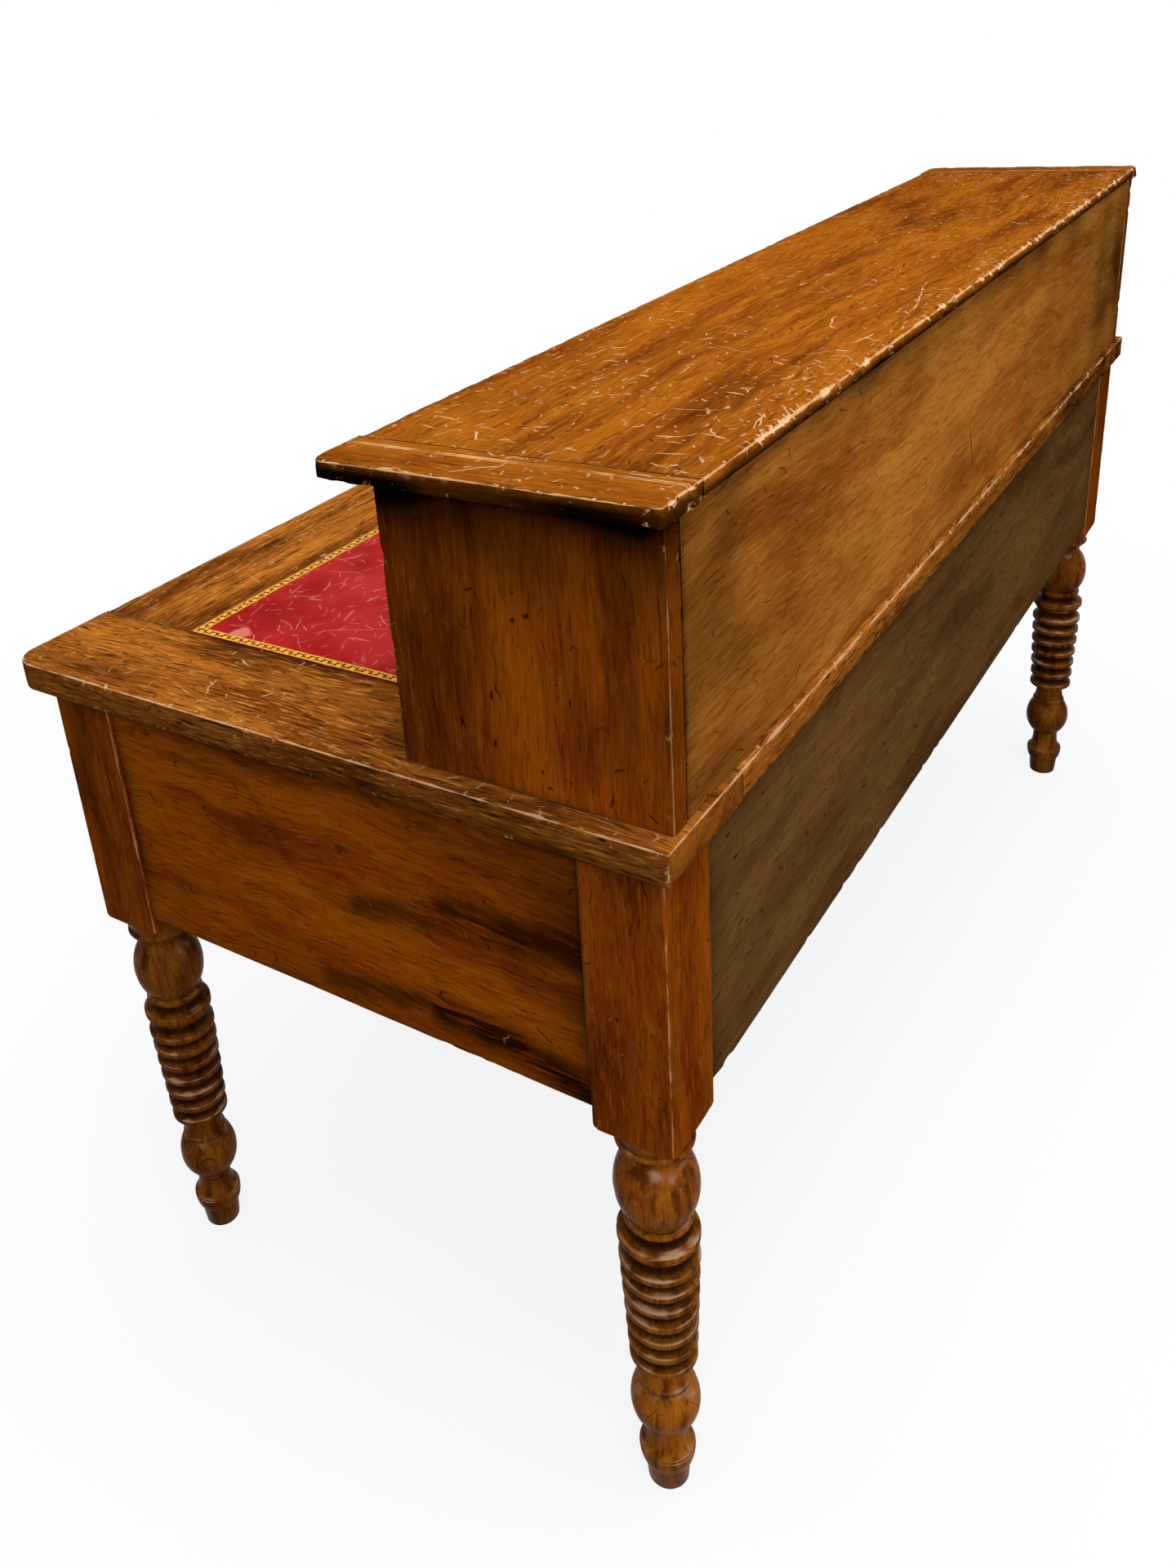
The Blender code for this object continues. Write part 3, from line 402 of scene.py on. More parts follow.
    @staticmethod
    def draw_wear(tree: Tree, given: dict[str, Socket]) -> dict[str, Socket]:
        """Polish rubbed off the edges, with painted highlights laid on the same way, raw wood in the chips,
        and soiling and painted shade in the hollows and along shaded sides.
        """
        patchy = tree.math("SUBTRACT", tree.cloud(given["Place"], 2.0, 0.55, RUB_PATCH), 0.5)
        # The rub lays the pale colour for worn polish and for painted highlights alike.
        rubbed = tree.rise(tree.ramp(patchy, 2.2, given["Edge"]), 0.36, 0.80)
        rubbed = tree.times(rubbed, tree.rise(given["Edge"], 0.0, 0.15))
        colour = tree.blend(rubbed, given["Colour"], given["Worn"])
        ragged = tree.math("SUBTRACT", tree.cloud(given["Place"], 3.0, 0.6, CHIP_PATCH), 0.5)
        bare = tree.rise(tree.ramp(ragged, 2.0, given["Chip"]), 0.34, 0.62)
        bare = tree.times(bare, tree.rise(given["Chip"], 0.0, 0.15))
        colour = tree.blend(bare, colour, given["Raw"])
        clean = tree.most(tree.times(bare, 0.85), tree.times(rubbed, 0.65))
        covered = tree.times(given["Dirt"], tree.math("SUBTRACT", 1.0, clean))
        colour = tree.blend(covered, colour, given["Grime"])
        return {"Colour": colour, "Bare": bare}


# Finishes

@dataclass(frozen=True)
class Scar:
    """One long scratch, crack or dark streak, between two places on the desk."""

    start: tuple[float, float, float]
    end: tuple[float, float, float]
    width: float = 0.0011
    wander: float = 0.012
    strength: float = 1.0


@dataclass(frozen=True)
class Strokes:
    """One lot of short scratches: at most one in each cell of a grid."""

    cell: float
    width: float
    share: float
    wander: float
    shift: float = 0.0
    along: float = 1.0          # how much they are drawn out along the grain


PALE_SCRATCHES = (Strokes(0.052, 0.0012, 0.9, 0.30), Strokes(0.024, 0.0013, 0.9, 0.50, 0.21),
                  Strokes(0.012, 0.0010, 1.0, 0.60, 0.43))
LEATHER_SCUFFS = (Strokes(0.074, 0.0010, 1.0, 0.34), Strokes(0.052, 0.0010, 1.0, 0.34, 0.7),
                  Strokes(0.034, 0.0009, 1.0, 0.34, 0.4), Strokes(0.019, 0.0008, 0.9, 0.34, 0.9))
DARK_CUTS = (Strokes(0.026, 0.0008, 0.7, 0.40, 0.77, 2.0), Strokes(0.014, 0.0007, 0.9, 0.60, 0.91, 2.2))


@dataclass(frozen=True)
class Wood:
    """One waxed wood: its tones, its figure and the marks of age on it."""

    slot: str
    dark: str
    light: str
    streak: str
    pale: str
    # worn: pale colour of rubbed edges, also used for painted highlights and the legs' painted sheen
    worn: str
    raw: str = "a5743f"
    grime: str = "100602"
    stain: str = "190a02"
    ring_width: float = 0.024
    wander: float = 0.060
    stain_scale: float = 3.5
    fleck: float = 0.75
    mottle: float = 0.35
    ticks: float = 0.50
    roughness: float = 0.45
    gloss: float = 0.0
    scratch_share: float = 0.20
    scratch_depth: float = 0.85
    cut_share: float = 0.40
    speck_share: float = 0.14
    pit_cell: float = 0.015
    pit_radius: float = 0.0020
    pit_squeeze: float = 0.36   # along the grain, which draws the pits out
    scars: tuple[Scar, ...] = ()
    cracks: tuple[Scar, ...] = ()

    def make(self, effects: Effects) -> bpy.types.Material:
        """Build the finish as a material.

        Args:
            effects: the shared node groups.

        Returns:
            The material, which reads the grain and wear kept on each piece.
        """
        made, tree, shader = new_finish(self.slot + "_finish")
        place = tree.add("ShaderNodeTexCoord").outputs["Object"]
        grain = tree.attribute("grain", vector=True)
        timber = tree.group(effects.timber, Grain=grain, Ring_Width=self.ring_width, Wander=self.wander,
                            Stain_Scale=self.stain_scale)
        colour = self.timber_colour(tree, timber)
        drawn_out = tree.vector("MULTIPLY", grain, (self.pit_squeeze, 1.0, 1.0))
        pits = tree.group(effects.specks, Place=drawn_out, Cell=self.pit_cell, Radius=self.pit_radius,
                          Share=self.speck_share)
        colour = tree.blend(tree.times(pits.outputs["Mask"], 0.85), colour, paint(self.grime))
        stained = self.drawn(tree, effects, self.cracks, place, timber.outputs["Stroke"])
        colour = tree.blend(stained, colour, paint(self.stain))
        cuts = self.marked(tree, effects, grain, DARK_CUTS, self.cut_share)
        colour = tree.blend(tree.times(cuts, 0.80), colour, paint(self.grime))
        scars = self.drawn(tree, effects, self.scars, place, tree.cloud(place, scale=SCAR_GAP))
        share = tree.times(tree.attribute("scuff"), self.scratch_share)
        marks = tree.most(scars, self.marked(tree, effects, grain, PALE_SCRATCHES, share))
        colour = tree.blend(tree.times(marks, self.scratch_depth), colour, paint(self.raw))
        aged = tree.group(effects.wear, Colour=colour, Worn=paint(self.worn), Raw=paint(self.raw),
                          Grime=paint(self.grime), Place=place, Edge=tree.attribute("edge"),
                          Chip=tree.attribute("chip"), Dirt=tree.attribute("dirt"))
        tree.feed(shader.inputs["Base Color"], aged.outputs["Colour"])

        uneven = tree.ramp(timber.outputs["Stroke"], 0.30, self.roughness - 0.15)
        worn_off = tree.most(marks, aged.outputs["Bare"])
        tree.feed(shader.inputs["Roughness"], tree.ramp(worn_off, 0.25, uneven))
        shader.inputs["Specular IOR Level"].default_value = self.gloss
        shader.inputs["Specular Tint"].default_value = paint("ffeedd")

        height = tree.ramp(timber.outputs["Ticks"], -0.7, timber.outputs["Fleck"])
        height = tree.ramp(tree.most(marks, cuts), -0.6, height)
        height = tree.math("SUBTRACT", height, pits.outputs["Mask"])
        bump = tree.add("ShaderNodeBump", {"Height": height, "Strength": 0.5, "Distance": 0.0008})
        tree.feed(shader.inputs["Normal"], bump.outputs[0])
        return made

    def timber_colour(self, tree: Tree, timber: bpy.types.Node) -> Socket:
        """The colour of the sound wood, from its rings, strokes, flecks, stains and ticks."""
        out = timber.outputs
        plain = tree.ramp(tree.attribute("end_grain"), -0.75, 1.0)
        tone = tree.ramp(out["Mottle"], 0.30, tree.times(out["Figure"], 0.36))
        tone = tree.ramp(out["Stroke"], 0.34, tone)
        colour = tree.blend(tree.rise(tone, 0.40, 0.60), paint(self.dark), paint(self.light))
        fleck = tree.times(plain, self.fleck)
        for pattern, none, full, strength, code in (("Stroke", 0.51, 0.68, 0.75, self.streak),
                                                    ("Fleck", 0.53, 0.70, 0.85, self.streak),
                                                    ("Fleck", 0.46, 0.30, 0.80, self.pale)):
            reached = tree.rise(out[pattern], none, full)
            share = tree.times(reached, tree.times(fleck, strength))
            colour = tree.blend(share, colour, paint(code))
        stain = tree.times(tree.rise(out["Mottle"], 0.48, 0.34), self.mottle)
        colour = tree.blend(stain, colour, paint(self.streak))
        return tree.blend(tree.times(out["Ticks"], self.ticks), colour, paint(self.grime))

    @staticmethod
    def marked(tree: Tree, effects: Effects, grain: Socket, lots: Sequence[Strokes], share: Any) -> Socket:
        """Lots of short strokes in one mask, laid out over the board's faces as if they were unfolded."""
        along, across, through = tree.split(grain)
        flat = tree.point(along, tree.plus(across, through))
        total = 0.0
        for lot in lots:
            drawn_out = tree.vector("MULTIPLY", flat, (1 / lot.along, 1.0, 1.0))
            moved = tree.vector("ADD", drawn_out, (lot.shift, 3 * lot.cell, 0.0))
            strokes = tree.group(effects.scratches, Place=moved, Cell=lot.cell, Width=lot.width,
                                 Share=tree.times(share, lot.share), Wander=lot.wander)
            total = tree.most(total, strokes.outputs["Mask"])
        return total

    @staticmethod
    def drawn(tree: Tree, effects: Effects, lines: Sequence[Scar], place: Socket, gaps: Socket) -> Any:
        """All the long marks of one kind in one mask, or plain nought where there are none."""
        total = 0.0
        for line in lines:
            mark = tree.group(effects.scar, Place=place, Start=line.start, End=line.end, Width=line.width,
                              Wander=line.wander, Gaps=gaps)
            total = tree.most(total, tree.times(mark.outputs["Mask"], line.strength))
        return total


@dataclass(frozen=True)
class Skin:
    """The writing leather: dyed hide, scuffed by use."""

    dye: str = "a81c18"
    deep: str = "87100f"
    rubbed: str = "dd8a76"
    worn_place: tuple[float, float, float] = (0.625, -0.186, 0.760)
    worn_reach: float = 0.014
    pebbles: float = 900.0      # in a metre

    def make(self, effects: Effects) -> bpy.types.Material:
        """Build the leather as a material, from the shared groups."""
        made, tree, shader = new_finish("writing_leather_finish")
        place = tree.add("ShaderNodeTexCoord").outputs["Object"]
        tone = tree.rise(tree.cloud(place, 4.0, 0.6, 9.0), 0.32, 0.70)
        colour = tree.blend(tone, paint(self.dye), paint(self.deep))
        marks = 0.0
        for lot in LEATHER_SCUFFS:
            moved = tree.vector("ADD", place, (lot.shift, lot.shift / 2, 0.0))
            drawn = tree.group(effects.scratches, Place=moved, Cell=lot.cell, Width=lot.width,
                               Share=lot.share, Wander=lot.wander)
            marks = tree.most(marks, drawn.outputs["Mask"])
        colour = tree.blend(tree.times(marks, 0.80), colour, paint(self.rubbed))
        ragged = tree.times(tree.cloud(place, 3.0, 0.6, 70.0), self.worn_reach)
        gap = tree.plus(tree.measure("DISTANCE", place, self.worn_place), ragged)
        patch = tree.rise(gap, 1.45 * self.worn_reach, 1.15 * self.worn_reach)
        colour = tree.blend(tree.times(patch, 0.55), colour, paint(self.rubbed))
        tree.feed(shader.inputs["Base Color"], colour)
        shader.inputs["Specular IOR Level"].default_value = 0.03
        tree.feed(shader.inputs["Roughness"], tree.rise(tree.plus(tone, marks), -2.4, 3.0))
        pebble = tree.add("ShaderNodeTexVoronoi", {"Vector": place, "Scale": self.pebbles})
        height = tree.ramp(marks, -0.8, pebble.outputs["Distance"])
        bump = tree.add("ShaderNodeBump", {"Height": height, "Strength": 0.30, "Distance": 0.0004})
        tree.feed(shader.inputs["Normal"], bump.outputs[0])
        return made


@dataclass(frozen=True)
class Gilding:
    """Gold leaf tooled round the leather: two fillets and a running scroll, worn in places."""

    gold: str = "dca01c"
    gap: str = "3c1408"
    repeat: float = 0.0165

    def make(self) -> bpy.types.Material:
        """Build the tooled border, drawn along its own map."""
        made, tree, shader = new_finish("gilt_border_finish")
        along, across, _ = tree.split(tree.add("ShaderNodeUVMap").outputs[0])
        turn = tree.times(along, FULL_TURN / self.repeat)
        wave = tree.ramp(tree.math("SINE", turn), 0.20, 0.5)
        vine = tree.rise(tree.math("ABSOLUTE", tree.math("SUBTRACT", across, wave)), 0.10, 0.05)
        leaf_turn = tree.math("COSINE", tree.times(turn, 2.0))
        from_middle = tree.math("ABSOLUTE", tree.math("SUBTRACT", across, 0.5))
        leaf = tree.rise(tree.plus(leaf_turn, from_middle), 0.75, 0.95)
        fillet = tree.rise(from_middle, 0.31, 0.35)
        pattern = tree.most(fillet, tree.math("SUBTRACT", 1.0, tree.most(vine, leaf)))
        place = tree.add("ShaderNodeTexCoord").outputs["Object"]
        kept = tree.rise(tree.cloud(place, 4.0, 0.65, 120.0), 0.30, 0.46)
        leafed = tree.times(pattern, kept)
        tree.feed(shader.inputs["Base Color"], tree.blend(leafed, paint(self.gap), paint(self.gold)))
        shader.inputs["Specular IOR Level"].default_value = 0.05
        tree.feed(shader.inputs["Roughness"], tree.rise(leafed, 1.6, -0.9))
        pressed = {"Height": leafed, "Strength": 0.3, "Distance": 0.0003}
        bump = tree.add("ShaderNodeBump", pressed, invert=True)
        tree.feed(shader.inputs["Normal"], bump.outputs[0])
        return made


LID_FACE = 1.016                # height of the lid's upper face


def lid_scar(first: Point, last: Point, width: float = 0.0011, wander: float = 0.012) -> Scar:
    """A long scratch on the lid, between two places in plan."""
    return Scar((*first, LID_FACE), (*last, LID_FACE), width, wander)


LID_SCARS = (
    lid_scar((0.074, 0.316), (0.183, 0.338)),
    lid_scar((0.183, 0.338), (0.276, 0.355), 0.0014),
    lid_scar((0.131, 0.148), (0.228, 0.225), 0.0007, 0.030),
    lid_scar((0.228, 0.225), (0.235, 0.261), 0.0007, 0.030),
    lid_scar((0.697, 0.232), (0.664, 0.244)),
    lid_scar((0.752, 0.213), (0.715, 0.218), 0.0009),
    lid_scar((0.672, 0.097), (0.634, 0.124), 0.0015, 0.020),
    lid_scar((0.679, 0.128), (0.658, 0.132)),
    lid_scar((0.677, 0.167), (0.671, 0.188), 0.0016),
    lid_scar((0.707, 0.312), (0.705, 0.358), 0.0016, 0.010),
    lid_scar((0.690, 0.318), (0.694, 0.356), 0.0013, 0.016),
    lid_scar((0.716, 0.318), (0.712, 0.350), 0.0013, 0.008),
    lid_scar((0.520, 0.300), (0.440, 0.340), 0.0009, 0.024),
    lid_scar((-0.330, 0.345), (-0.560, 0.352), 0.0012, 0.022),
)

END_FACE = 0.757                # where the right end panel's outer face lies
BACK_FACE = 0.358               # where the gallery back's outer face lies


def end_streak(first: Point, last: Point, width: float, strength: float) -> Scar:
    """A dark run of figure on the right end panel, between two places in its face."""
    return Scar((END_FACE, *first), (END_FACE, *last), width, 0.022, strength)


PANEL_STREAKS = (
    end_streak((0.050, 0.596), (0.150, 0.618), 0.024, 0.70),
    end_streak((0.150, 0.618), (0.272, 0.634), 0.034, 0.85),
    end_streak((0.000, 0.502), (0.130, 0.514), 0.024, 0.75),
    end_streak((0.130, 0.514), (0.210, 0.506), 0.030, 0.95),
    end_streak((0.210, 0.506), (0.279, 0.488), 0.034, 0.95),
    end_streak((-0.187, 0.693), (-0.070, 0.689), 0.009, 0.35),
    end_streak((-0.070, 0.689), (-0.017, 0.599), 0.008, 0.30),
    end_streak((-0.017, 0.599), (0.048, 0.586), 0.009, 0.35),
    end_streak((0.031, 0.654), (0.039, 0.654), 0.007, 0.80),
    end_streak((0.186, 0.678), (0.192, 0.678), 0.006, 0.80),
)
SIDE_FACE = 0.749               # where the right gallery side's outer face lies


def nail_mark(depth: float, height: float) -> Scar:
    """A dark nail hole in the right gallery side, a little longer than it is high."""
    return Scar((SIDE_FACE, depth, height), (SIDE_FACE, depth + 0.002, height + 0.001), 0.0032, 0.006, 0.95)


NAIL_MARKS = (nail_mark(0.232, 0.908), nail_mark(0.244, 0.914))
BACK_CRACK = (Scar((0.038, BACK_FACE, 0.855), (0.015, BACK_FACE, 0.799), 0.0024, 0.008, 0.9),)

WOODS = (
    Wood("lid_wood", dark="74360a", light="9e5912", streak="351704", pale="b8742a", worn="c89a68",
         raw="d8b084", fleck=0.62, mottle=0.35, scratch_share=1.0, speck_share=0.30, scars=LID_SCARS),
    Wood("top_wood", dark="7a3e10", light="b46a22", streak="2c1407", pale="cc883e", worn="cc9f74",
         raw="c79d6c", fleck=1.15, mottle=0.55, scratch_share=0.60, speck_share=0.30),
    Wood("gallery_wood", dark="843706", light="ba5f0e", streak="3c1602", pale="cc7620", worn="b98250",
         scratch_share=0.08, fleck=0.60, ticks=0.35, wander=0.030, cracks=NAIL_MARKS),
    Wood("back_board_wood", dark="be6b20", light="ee9a3c", streak="6c3a12", pale="f6ae5a", worn="b98a55",
         raw="b98a58", scratch_share=0.12, fleck=0.58, mottle=0.25, ticks=0.35, wander=0.050,
         cracks=BACK_CRACK),
    Wood("panel_wood", dark="943f06", light="c2660d", streak="421802", pale="d2781c", worn="b07c4c",
         scratch_share=0.12, speck_share=0.34, fleck=0.58, wander=0.085, ring_width=0.030,
         cracks=PANEL_STREAKS),
    Wood("back_wood", dark="6f4a24", light="8d6233", streak="3e2912", pale="a07a46", worn="8a6840",
         raw="9a7448", scratch_share=0.16, fleck=0.52, mottle=0.30, roughness=0.55),
    Wood("leg_wood", dark="86400f", light="c47420", streak="341504", pale="d88e34", worn="c49a74",
         raw="b88450", scratch_share=0.10, speck_share=0.30, stain_scale=16.0, mottle=0.55, fleck=0.45,
         roughness=0.28, gloss=0.012),
    Wood("post_wood", dark="7c3305", light="aa5510", streak="381503", pale="c06a1c", worn="bc8856",
         scratch_share=0.10, speck_share=0.34, fleck=0.66, ticks=0.40, wander=0.040),
    Wood("front_wood", dark="803707", light="a9570b", streak="421903", pale="b96716", worn="a8703c",
         scratch_share=0.10, wander=0.085, ring_width=0.030),
    Wood("knob_wood", dark="6a3006", light="8c490f", streak="381703", pale="a5611e", worn="ad7a48",
         roughness=0.34, gloss=0.05),
    Wood("lining_wood", dark="8f6a3c", light="a9824e", streak="6b4b27", pale="b8935e", worn="b8935e",
         raw="b98a58", grime="2a1a0c", roughness=0.60, scratch_share=0.05, fleck=0.4, mottle=0.3),
)


# Modelling helpers

def pick(obj: bpy.types.Object) -> None:
    """Make one object the only selected one, and the active one."""
    bpy.ops.object.select_all(action="DESELECT")
    obj.select_set(True)
    bpy.context.view_layer.objects.active = obj


@contextmanager
def editing(obj: bpy.types.Object) -> Iterator[None]:
    """Keep one object, alone, in edit mode for a while."""
    pick(obj)
    bpy.ops.object.mode_set(mode="EDIT")
    yield
    bpy.ops.object.mode_set(mode="OBJECT")


def started(name: str) -> bpy.types.Object:
    """Name the primitive that was just added, with its place put in its mesh."""
    made = bpy.context.object
    made.name = name
    made.data.name = name
    bpy.ops.object.transform_apply(location=True, rotation=True, scale=True)
    return made


def places(obj: bpy.types.Object) -> np.ndarray:
    """The places of a piece's vertices, a row each."""
    flat = np.empty(len(obj.data.vertices) * 3)
    obj.data.vertices.foreach_get("co", flat)
    return flat.reshape(-1, 3)


def put_places(obj: bpy.types.Object, rows: np.ndarray) -> None:
    """Move a piece's vertices to new places."""
    obj.data.vertices.foreach_set("co", rows.ravel())
    obj.data.update()


def normals(obj: bpy.types.Object) -> np.ndarray:
    """The outward direction at each vertex of a piece."""
    flat = np.empty(len(obj.data.vertices) * 3)
    obj.data.vertex_normals.foreach_get("vector", flat)
    return flat.reshape(-1, 3)


def edge_ends(obj: bpy.types.Object) -> np.ndarray:
    """The two vertex numbers of each edge of a piece."""
    flat = np.empty(len(obj.data.edges) * 2, dtype=np.int64)
    obj.data.edges.foreach_get("vertices", flat)
    return flat.reshape(-1, 2)


def split_edges(obj: bpy.types.Object, wanted: np.ndarray, cells: int) -> None:
    """Cut the wanted edges of a piece, and the faces between them, into cells."""
    mesh = obj.data
    mesh.vertices.foreach_set("select", np.zeros(len(mesh.vertices), dtype=bool))
    mesh.polygons.foreach_set("select", np.zeros(len(mesh.polygons), dtype=bool))
    mesh.edges.foreach_set("select", wanted)
    bpy.context.tool_settings.mesh_select_mode = EDGES_ONLY
    with editing(obj):
        bpy.ops.mesh.subdivide(number_cuts=cells - 1)


def note(obj: bpy.types.Object, name: str, values: np.ndarray) -> None:
    """Keep a number, or a vector, for each vertex of a piece."""
    kind, item = ("FLOAT_VECTOR", "vector") if values.ndim == 2 else ("FLOAT", "value")
    kept = obj.data.attributes.new(name, kind, "POINT")
    kept.data.foreach_set(item, values.astype(np.float32).ravel())


def note_wear_and_painted_light(obj: bpy.types.Object, **shares: Any) -> None:
    """Keep how rubbed, chipped, dirty and scuffed a piece is, at each vertex or the same all over; the rub
    also holds painted highlights and sheen, the darkening painted shade.
    """
    for name in ("edge", "chip", "dirt", "scuff"):
        note(obj, name, np.broadcast_to(shares.get(name, 0.0), len(obj.data.vertices)))


def ripple(rows: np.ndarray, size: float, shift: float = 0.0) -> np.ndarray:
    """Smooth noise from -1 to 1 at each place, with bumps of about one size."""
    return np.array([noise.noise(row) for row in rows / size + shift])


def step_up(values: np.ndarray, low: float, high: float) -> np.ndarray:
    """Nought below one value, one above another, and a smooth rise between."""
    share = np.clip((values - low) / (high - low), 0.0, 1.0)
    return share * share * (3 - 2 * share)


def apply_modifier(obj: bpy.types.Object, kind: str, **settings: Any) -> None:
    """Add one modifier to a piece and apply it."""
    pick(obj)
    bpy.ops.object.modifier_add(type=kind)
    modifier = obj.modifiers[-1]
    for name, value in settings.items():
        setattr(modifier, name, value)
    bpy.ops.object.modifier_apply(modifier=modifier.name)


def round_off(obj: bpy.types.Object, weight: np.ndarray, width: float, segments: int) -> None:
    """Round a piece's edges, each by its own share of one width."""
    kept = obj.data.attributes.new("bevel_weight_edge", "FLOAT", "EDGE")
    kept.data.foreach_set("value", weight.astype(np.float32))
    apply_modifier(obj, "BEVEL", limit_method="WEIGHT", width=width, segments=segments,
                   use_clamp_overlap=True)


def cut_block(name: str, low: Sequence[float], high: Sequence[float],
              cells: Sequence[int]) -> bpy.types.Object:
    """A block whose faces are cut into a grid.

    Args:
        name: the piece's name.
        low: its lowest corner.
        high: its highest corner.
        cells: how many cells lie along each axis.

    Returns:
        The block, closed, with square edges.
    """
    low, high = Vector(low), Vector(high)
    bpy.ops.object.select_all(action="DESELECT")
    bpy.ops.mesh.primitive_cube_add(size=1.0, location=(low + high) / 2, scale=high - low)
    made = started(name)
    for axis, left in enumerate(cells):
        while left > 1:
            share = max(n for n in range(1, MOST_CELLS + 1) if left % n == 0)
            rows, ends = places(made), edge_ends(made)
            run = np.abs(rows[ends[:, 0]] - rows[ends[:, 1]])
            split_edges(made, run[:, axis] > TINY, share)
            left //= share
    return made


def side_gaps(rows: np.ndarray, low: Sequence[float], high: Sequence[float],
              sides: Iterable[Side]) -> np.ndarray:
    """How far each place lies from the nearest of some sides of a block, for each axis."""
    gaps = np.full(rows.shape, FAR)
    for side in sides:
        axis, way = side.value
        plane = high[axis] if way > 0 else low[axis]
        gaps[:, axis] = np.minimum(gaps[:, axis], np.abs(rows[:, axis] - plane))
    return gaps


def chain(name: str, points: Sequence[Point], centre: Point) -> bpy.types.Object:
    """A chain of edges through radius and height pairs, beside an upright axis, extruded point by point.

    Args:
        name: the piece's name.
        points: radius and height of each point, from one end of the axis to the other.
        centre: where the axis stands on the floor.

    Returns:
        The open chain.
    """
    start = Vector((centre[0] + points[0][0], centre[1], points[0][1]))
    bpy.ops.object.select_all(action="DESELECT")
    bpy.ops.mesh.primitive_plane_add(size=0.001, location=start)
    made = started(name)
    with editing(made):
        bpy.ops.mesh.select_mode(type="VERT")
        bpy.ops.mesh.select_all(action="SELECT")
        bpy.ops.mesh.merge(type="CENTER")
        for before, after in zip(points, points[1:]):
            move = (after[0] - before[0], 0.0, after[1] - before[1])
            bpy.ops.mesh.extrude_region_move(TRANSFORM_OT_translate={"value": move})
    return made


def turned(name: str, points: Sequence[Point], centre: Point, sides: int) -> bpy.types.Object:
    """Spin a chain of radius and height pairs into a closed turning."""
    made = chain(name, points, centre)
    with editing(made):
        bpy.ops.mesh.select_all(action="SELECT")
        bpy.ops.mesh.spin(steps=sides, angle=FULL_TURN, center=(*centre, 0.0), axis=(0.0, 0.0, 1.0))
        bpy.ops.mesh.select_all(action="SELECT")
        bpy.ops.mesh.remove_doubles(threshold=TINY)
        bpy.ops.mesh.normals_make_consistent(inside=False)
    return made


def bend(obj: bpy.types.Object) -> np.ndarray:
    """How sharply the surface bulges at each vertex, in one over metres, below nought in a hollow."""
    rows, out, ends = places(obj), normals(obj), edge_ends(obj)
    step = rows[ends[:, 0]] - rows[ends[:, 1]]
    square = np.maximum((step ** 2).sum(1), TINY ** 2)
    total = np.zeros(len(rows))
    count = np.zeros(len(rows))
    for column, way in ((0, 2.0), (1, -2.0)):
        np.add.at(total, ends[:, column], way * (out[ends[:, column]] * step).sum(1) / square)
        np.add.at(count, ends[:, column], 1.0)
    return total / np.maximum(count, 1.0)


def spread(obj: bpy.types.Object, values: np.ndarray, times: int) -> np.ndarray:
    """Even out a number over neighbouring vertices."""
    ends = edge_ends(obj)
    for _ in range(times):
        total = values.copy()
        count = np.ones(len(values))
        for first, second in ((0, 1), (1, 0)):
            np.add.at(total, ends[:, first], values[ends[:, second]])
            np.add.at(count, ends[:, first], 1.0)
        values = total / count
    return values


@dataclass
class Shop:
    """What every sub-assembly needs to finish its pieces."""

    nodes: dict[str, bpy.types.Object]
    materials: dict[str, bpy.types.Material]
    made: int = 0
    timber_step: float = 3.7        # along the timber from one piece to the next
    turn_step: float = 0.618        # round the tree from one piece to the next
    heart_aside: float = 0.10
    heart_under: float = 0.06
    heart_rise: float = 0.05

    def lay_grain(self, obj: bpy.types.Object, grain: Grain, seed: float) -> None:
        """Give a piece its own stretch of timber, with the tree's heart some way under its face."""
        rows = places(obj)
        centre = (rows.min(0) + rows.max(0)) / 2
        axes = list(grain.value)
        own = rows[:, axes] - centre[axes]
        step = self.made * self.turn_step
        heart = (self.timber_step * self.made + seed, self.heart_aside * math.sin(FULL_TURN * step),
                 self.heart_under + self.heart_rise * math.cos(2.4 * FULL_TURN * step))
        note(obj, "grain", own + np.array(heart))
        note(obj, "end_grain", step_up(np.abs(normals(obj)[:, axes[0]]), 0.5, 0.9))

    def finish(self, obj: bpy.types.Object, node: str, slot: str, body: str, grain: Grain | None,
               look: str = "", seed: float = 0.0) -> None:
        """Dress a modelled piece and set it on its body.

        Args:
            obj: the piece, in place.
            node: the solid that it stands for.
            slot: its material slot.
            body: the body that it moves with.
            grain: the run of its fibres, or none for a piece that isn't wood.
            look: its finish, where that isn't the slot's own.
            seed: moves the piece along its timber, to another figure.
        """
        self.made += 1
        if grain is not None:
            self.lay_grain(obj, grain, seed)
        if not obj.data.materials:
            obj.data.materials.append(self.materials[look or slot])
        pick(obj)
        bpy.ops.object.shade_smooth_by_angle(angle=CRISP_ANGLE)
        obj.select_set(False)
        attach(obj, body)
        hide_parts(node)
        LOG.info("%s: %d faces, on %s", obj.name, len(obj.data.polygons), body)


@dataclass(frozen=True)
class Wear:
    """How an open edge has aged."""

    soft: float = 0.0004        # rubbed away all along
    nick: float = 0.0008        # depth of the nicks
    size: float = 0.012         # length of the nicks
    start: float = 0.28         # noise level above which a nick begins
    reach: float = 0.0045       # how far in from the edge it goes
    uneven: float = 0.0003      # hollows of the hand plane on the faces
    line: float = 0.28          # width of the rubbed line and its painted highlight, as a share of the edge's rounding
    worst: Side | None = None   # the side whose edges took the most knocks
    knock_reach: float = 0.020  # how far from that side they lessen
    knock_least: float = 0.25   # share of the knocks beyond it
    rub_length: float = 0.060   # stretches that are rubbed more or less
    plane_stroke: float = 0.110  # length of the plane's hollows
    raw_depth: float = 0.0016   # nicks this deep show raw wood


@dataclass(frozen=True)
class Grime:
    """Darkening along one side of a board: soiling and old polish on some sides, painted shade and painted
    shadow on others.
    """

    side: Side
    reach: float
    strength: float
    power: float = 1.0          # how sharply it ends


